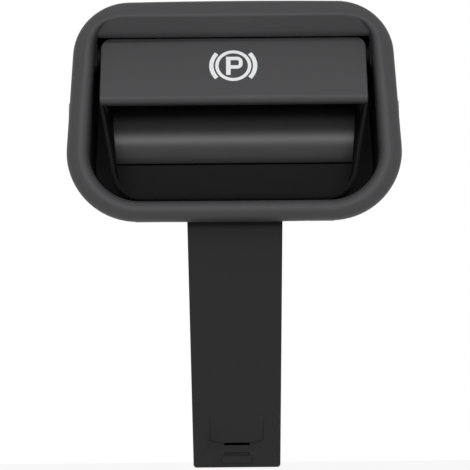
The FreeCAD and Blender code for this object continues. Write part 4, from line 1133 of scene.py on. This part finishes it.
def rowTree():
    # The start mesh at every point of a straight row
    tree = startTree("screwRow")
    names = {
        "count": groupInput(tree, "Count", "NodeSocketInt", screws["count"]),
        "start": groupInput(tree, "Start", "NodeSocketVector", (0, 0, 0)),
        "step": groupInput(tree, "Step", "NodeSocketVector", (2 * screws["across"], 0, 0)),
    }
    given = addNode(tree, "NodeGroupInput", {}, {}).outputs
    row = addNode(tree, "GeometryNodeMeshLine", {"mode": "OFFSET"}, {
        "Count": given["Count"],
        "Start Location": given["Start"],
        "Offset": given["Step"],
    })
    placed = addNode(tree, "GeometryNodeInstanceOnPoints", {}, {
        "Points": row.outputs["Mesh"],
        "Instance": given["Geometry"],
    })
    endTree(tree, placed.outputs["Instances"], screws["finish"])
    return tree, names


tree, names = rowTree()
piece = bakeTree("housingScrews", tree, {
    names["count"]: screws["count"],
    names["start"]: (-screws["across"], screws["headFront"], screws["height"]),
    names["step"]: (2 * screws["across"], 0, 0),
}, screws["finish"], bodyOf["housing_screws"], turnedScrew())
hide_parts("housing_screws")
print("screws turned")


# Studio: a pale floor well under the tongue's end, a white room, a soft lamp in front
# and a weaker one low down that lights the undersides

studio = {
    "floorHeight": -84 * mm,
    "floorSize": 3.0,
    "floorCells": 8,
    "floorColour": "#D8D8D6",
    "floorGlow": 0.9,
    "roomLight": 0.5,
    "lamps": {
        "keySoftbox": {
            "elevation": 6,
            "distance": 1.1,
            "width": 1.2,
            "height": 0.25,
            "power": 5.8,
        },
        "lowSoftbox": {
            "elevation": -38,
            "distance": 1.1,
            "width": 1.2,
            "height": 0.4,
            "power": 1.0,
        },
    },
}


def shownRays(tree):
    # One for rays that show the background: straight from the camera, off gloss or through glass
    ray = addNode(tree, "ShaderNodeLightPath", {}, {})
    direct = addNode(tree, "ShaderNodeMath", {"operation": "MAXIMUM"}, {
        0: ray.outputs["Is Camera Ray"],
        1: ray.outputs["Is Glossy Ray"],
    })
    shown = addNode(tree, "ShaderNodeMath", {"operation": "MAXIMUM"}, {
        0: direct.outputs[0],
        1: ray.outputs["Is Transmission Ray"],
    })
    return shown.outputs[0]


def makeFloor():
    shape = bmesh.new()
    cells = studio["floorCells"]
    bmesh.ops.create_grid(shape, x_segments=cells, y_segments=cells, size=studio["floorSize"])
    mesh = bpy.data.meshes.new("paleFloor")
    shape.to_mesh(mesh)
    shape.free()
    floor = bpy.data.objects.new("paleFloor", mesh)
    floor.location = (0, 0, studio["floorHeight"])
    floor.visible_shadow = False
    bpy.context.scene.collection.objects.link(floor)
    material = bpy.data.materials.new("paleCard")
    material.use_nodes = True
    tree = material.node_tree
    tree.nodes.clear()
    seen = addNode(tree, "ShaderNodeMath", {"operation": "MULTIPLY"}, {
        0: shownRays(tree),
        1: studio["floorGlow"],
    })
    card = addNode(tree, "ShaderNodeBsdfDiffuse", {}, {"Color": hexColour(studio["floorColour"])})
    glow = addNode(tree, "ShaderNodeEmission", {}, {"Strength": 1.0})
    surface = addNode(tree, "ShaderNodeMixShader", {}, {
        0: seen.outputs[0],
        1: card.outputs[0],
        2: glow.outputs[0],
    })
    addNode(tree, "ShaderNodeOutputMaterial", {}, {"Surface": surface.outputs[0]})
    mesh.materials.append(material)


def makeRoom():
    world = bpy.data.worlds.new("whiteRoom")
    world.use_nodes = True
    bpy.context.scene.world = world
    tree = world.node_tree
    tree.nodes.clear()
    strength = addNode(tree, "ShaderNodeMapRange", {}, {
        "Value": shownRays(tree),
        "To Min": studio["roomLight"],
        "To Max": 1.0,
    })
    glow = addNode(tree, "ShaderNodeBackground", {}, {
        "Color": (1, 1, 1, 1),
        "Strength": strength.outputs["Result"],
    })
    addNode(tree, "ShaderNodeOutputWorld", {}, {"Surface": glow.outputs[0]})


def makeLamp(name, look):
    # A soft lamp straight in front at its own elevation, unseen by the camera
    data = bpy.data.lights.new(name, "AREA")
    data.shape = "RECTANGLE"
    data.size = look["width"]
    data.size_y = look["height"]
    data.energy = look["power"]
    lamp = bpy.data.objects.new(name, data)
    rise = math.radians(look["elevation"])
    distance = look["distance"]
    lamp.location = (0, -distance * math.cos(rise), distance * math.sin(rise))
    lamp.rotation_euler = (math.radians(90) - rise, 0, 0)
    lamp.visible_camera = False
    bpy.context.scene.collection.objects.link(lamp)


makeFloor()
makeRoom()
for name, look in studio["lamps"].items():
    makeLamp(name, look)
print("studio lit")
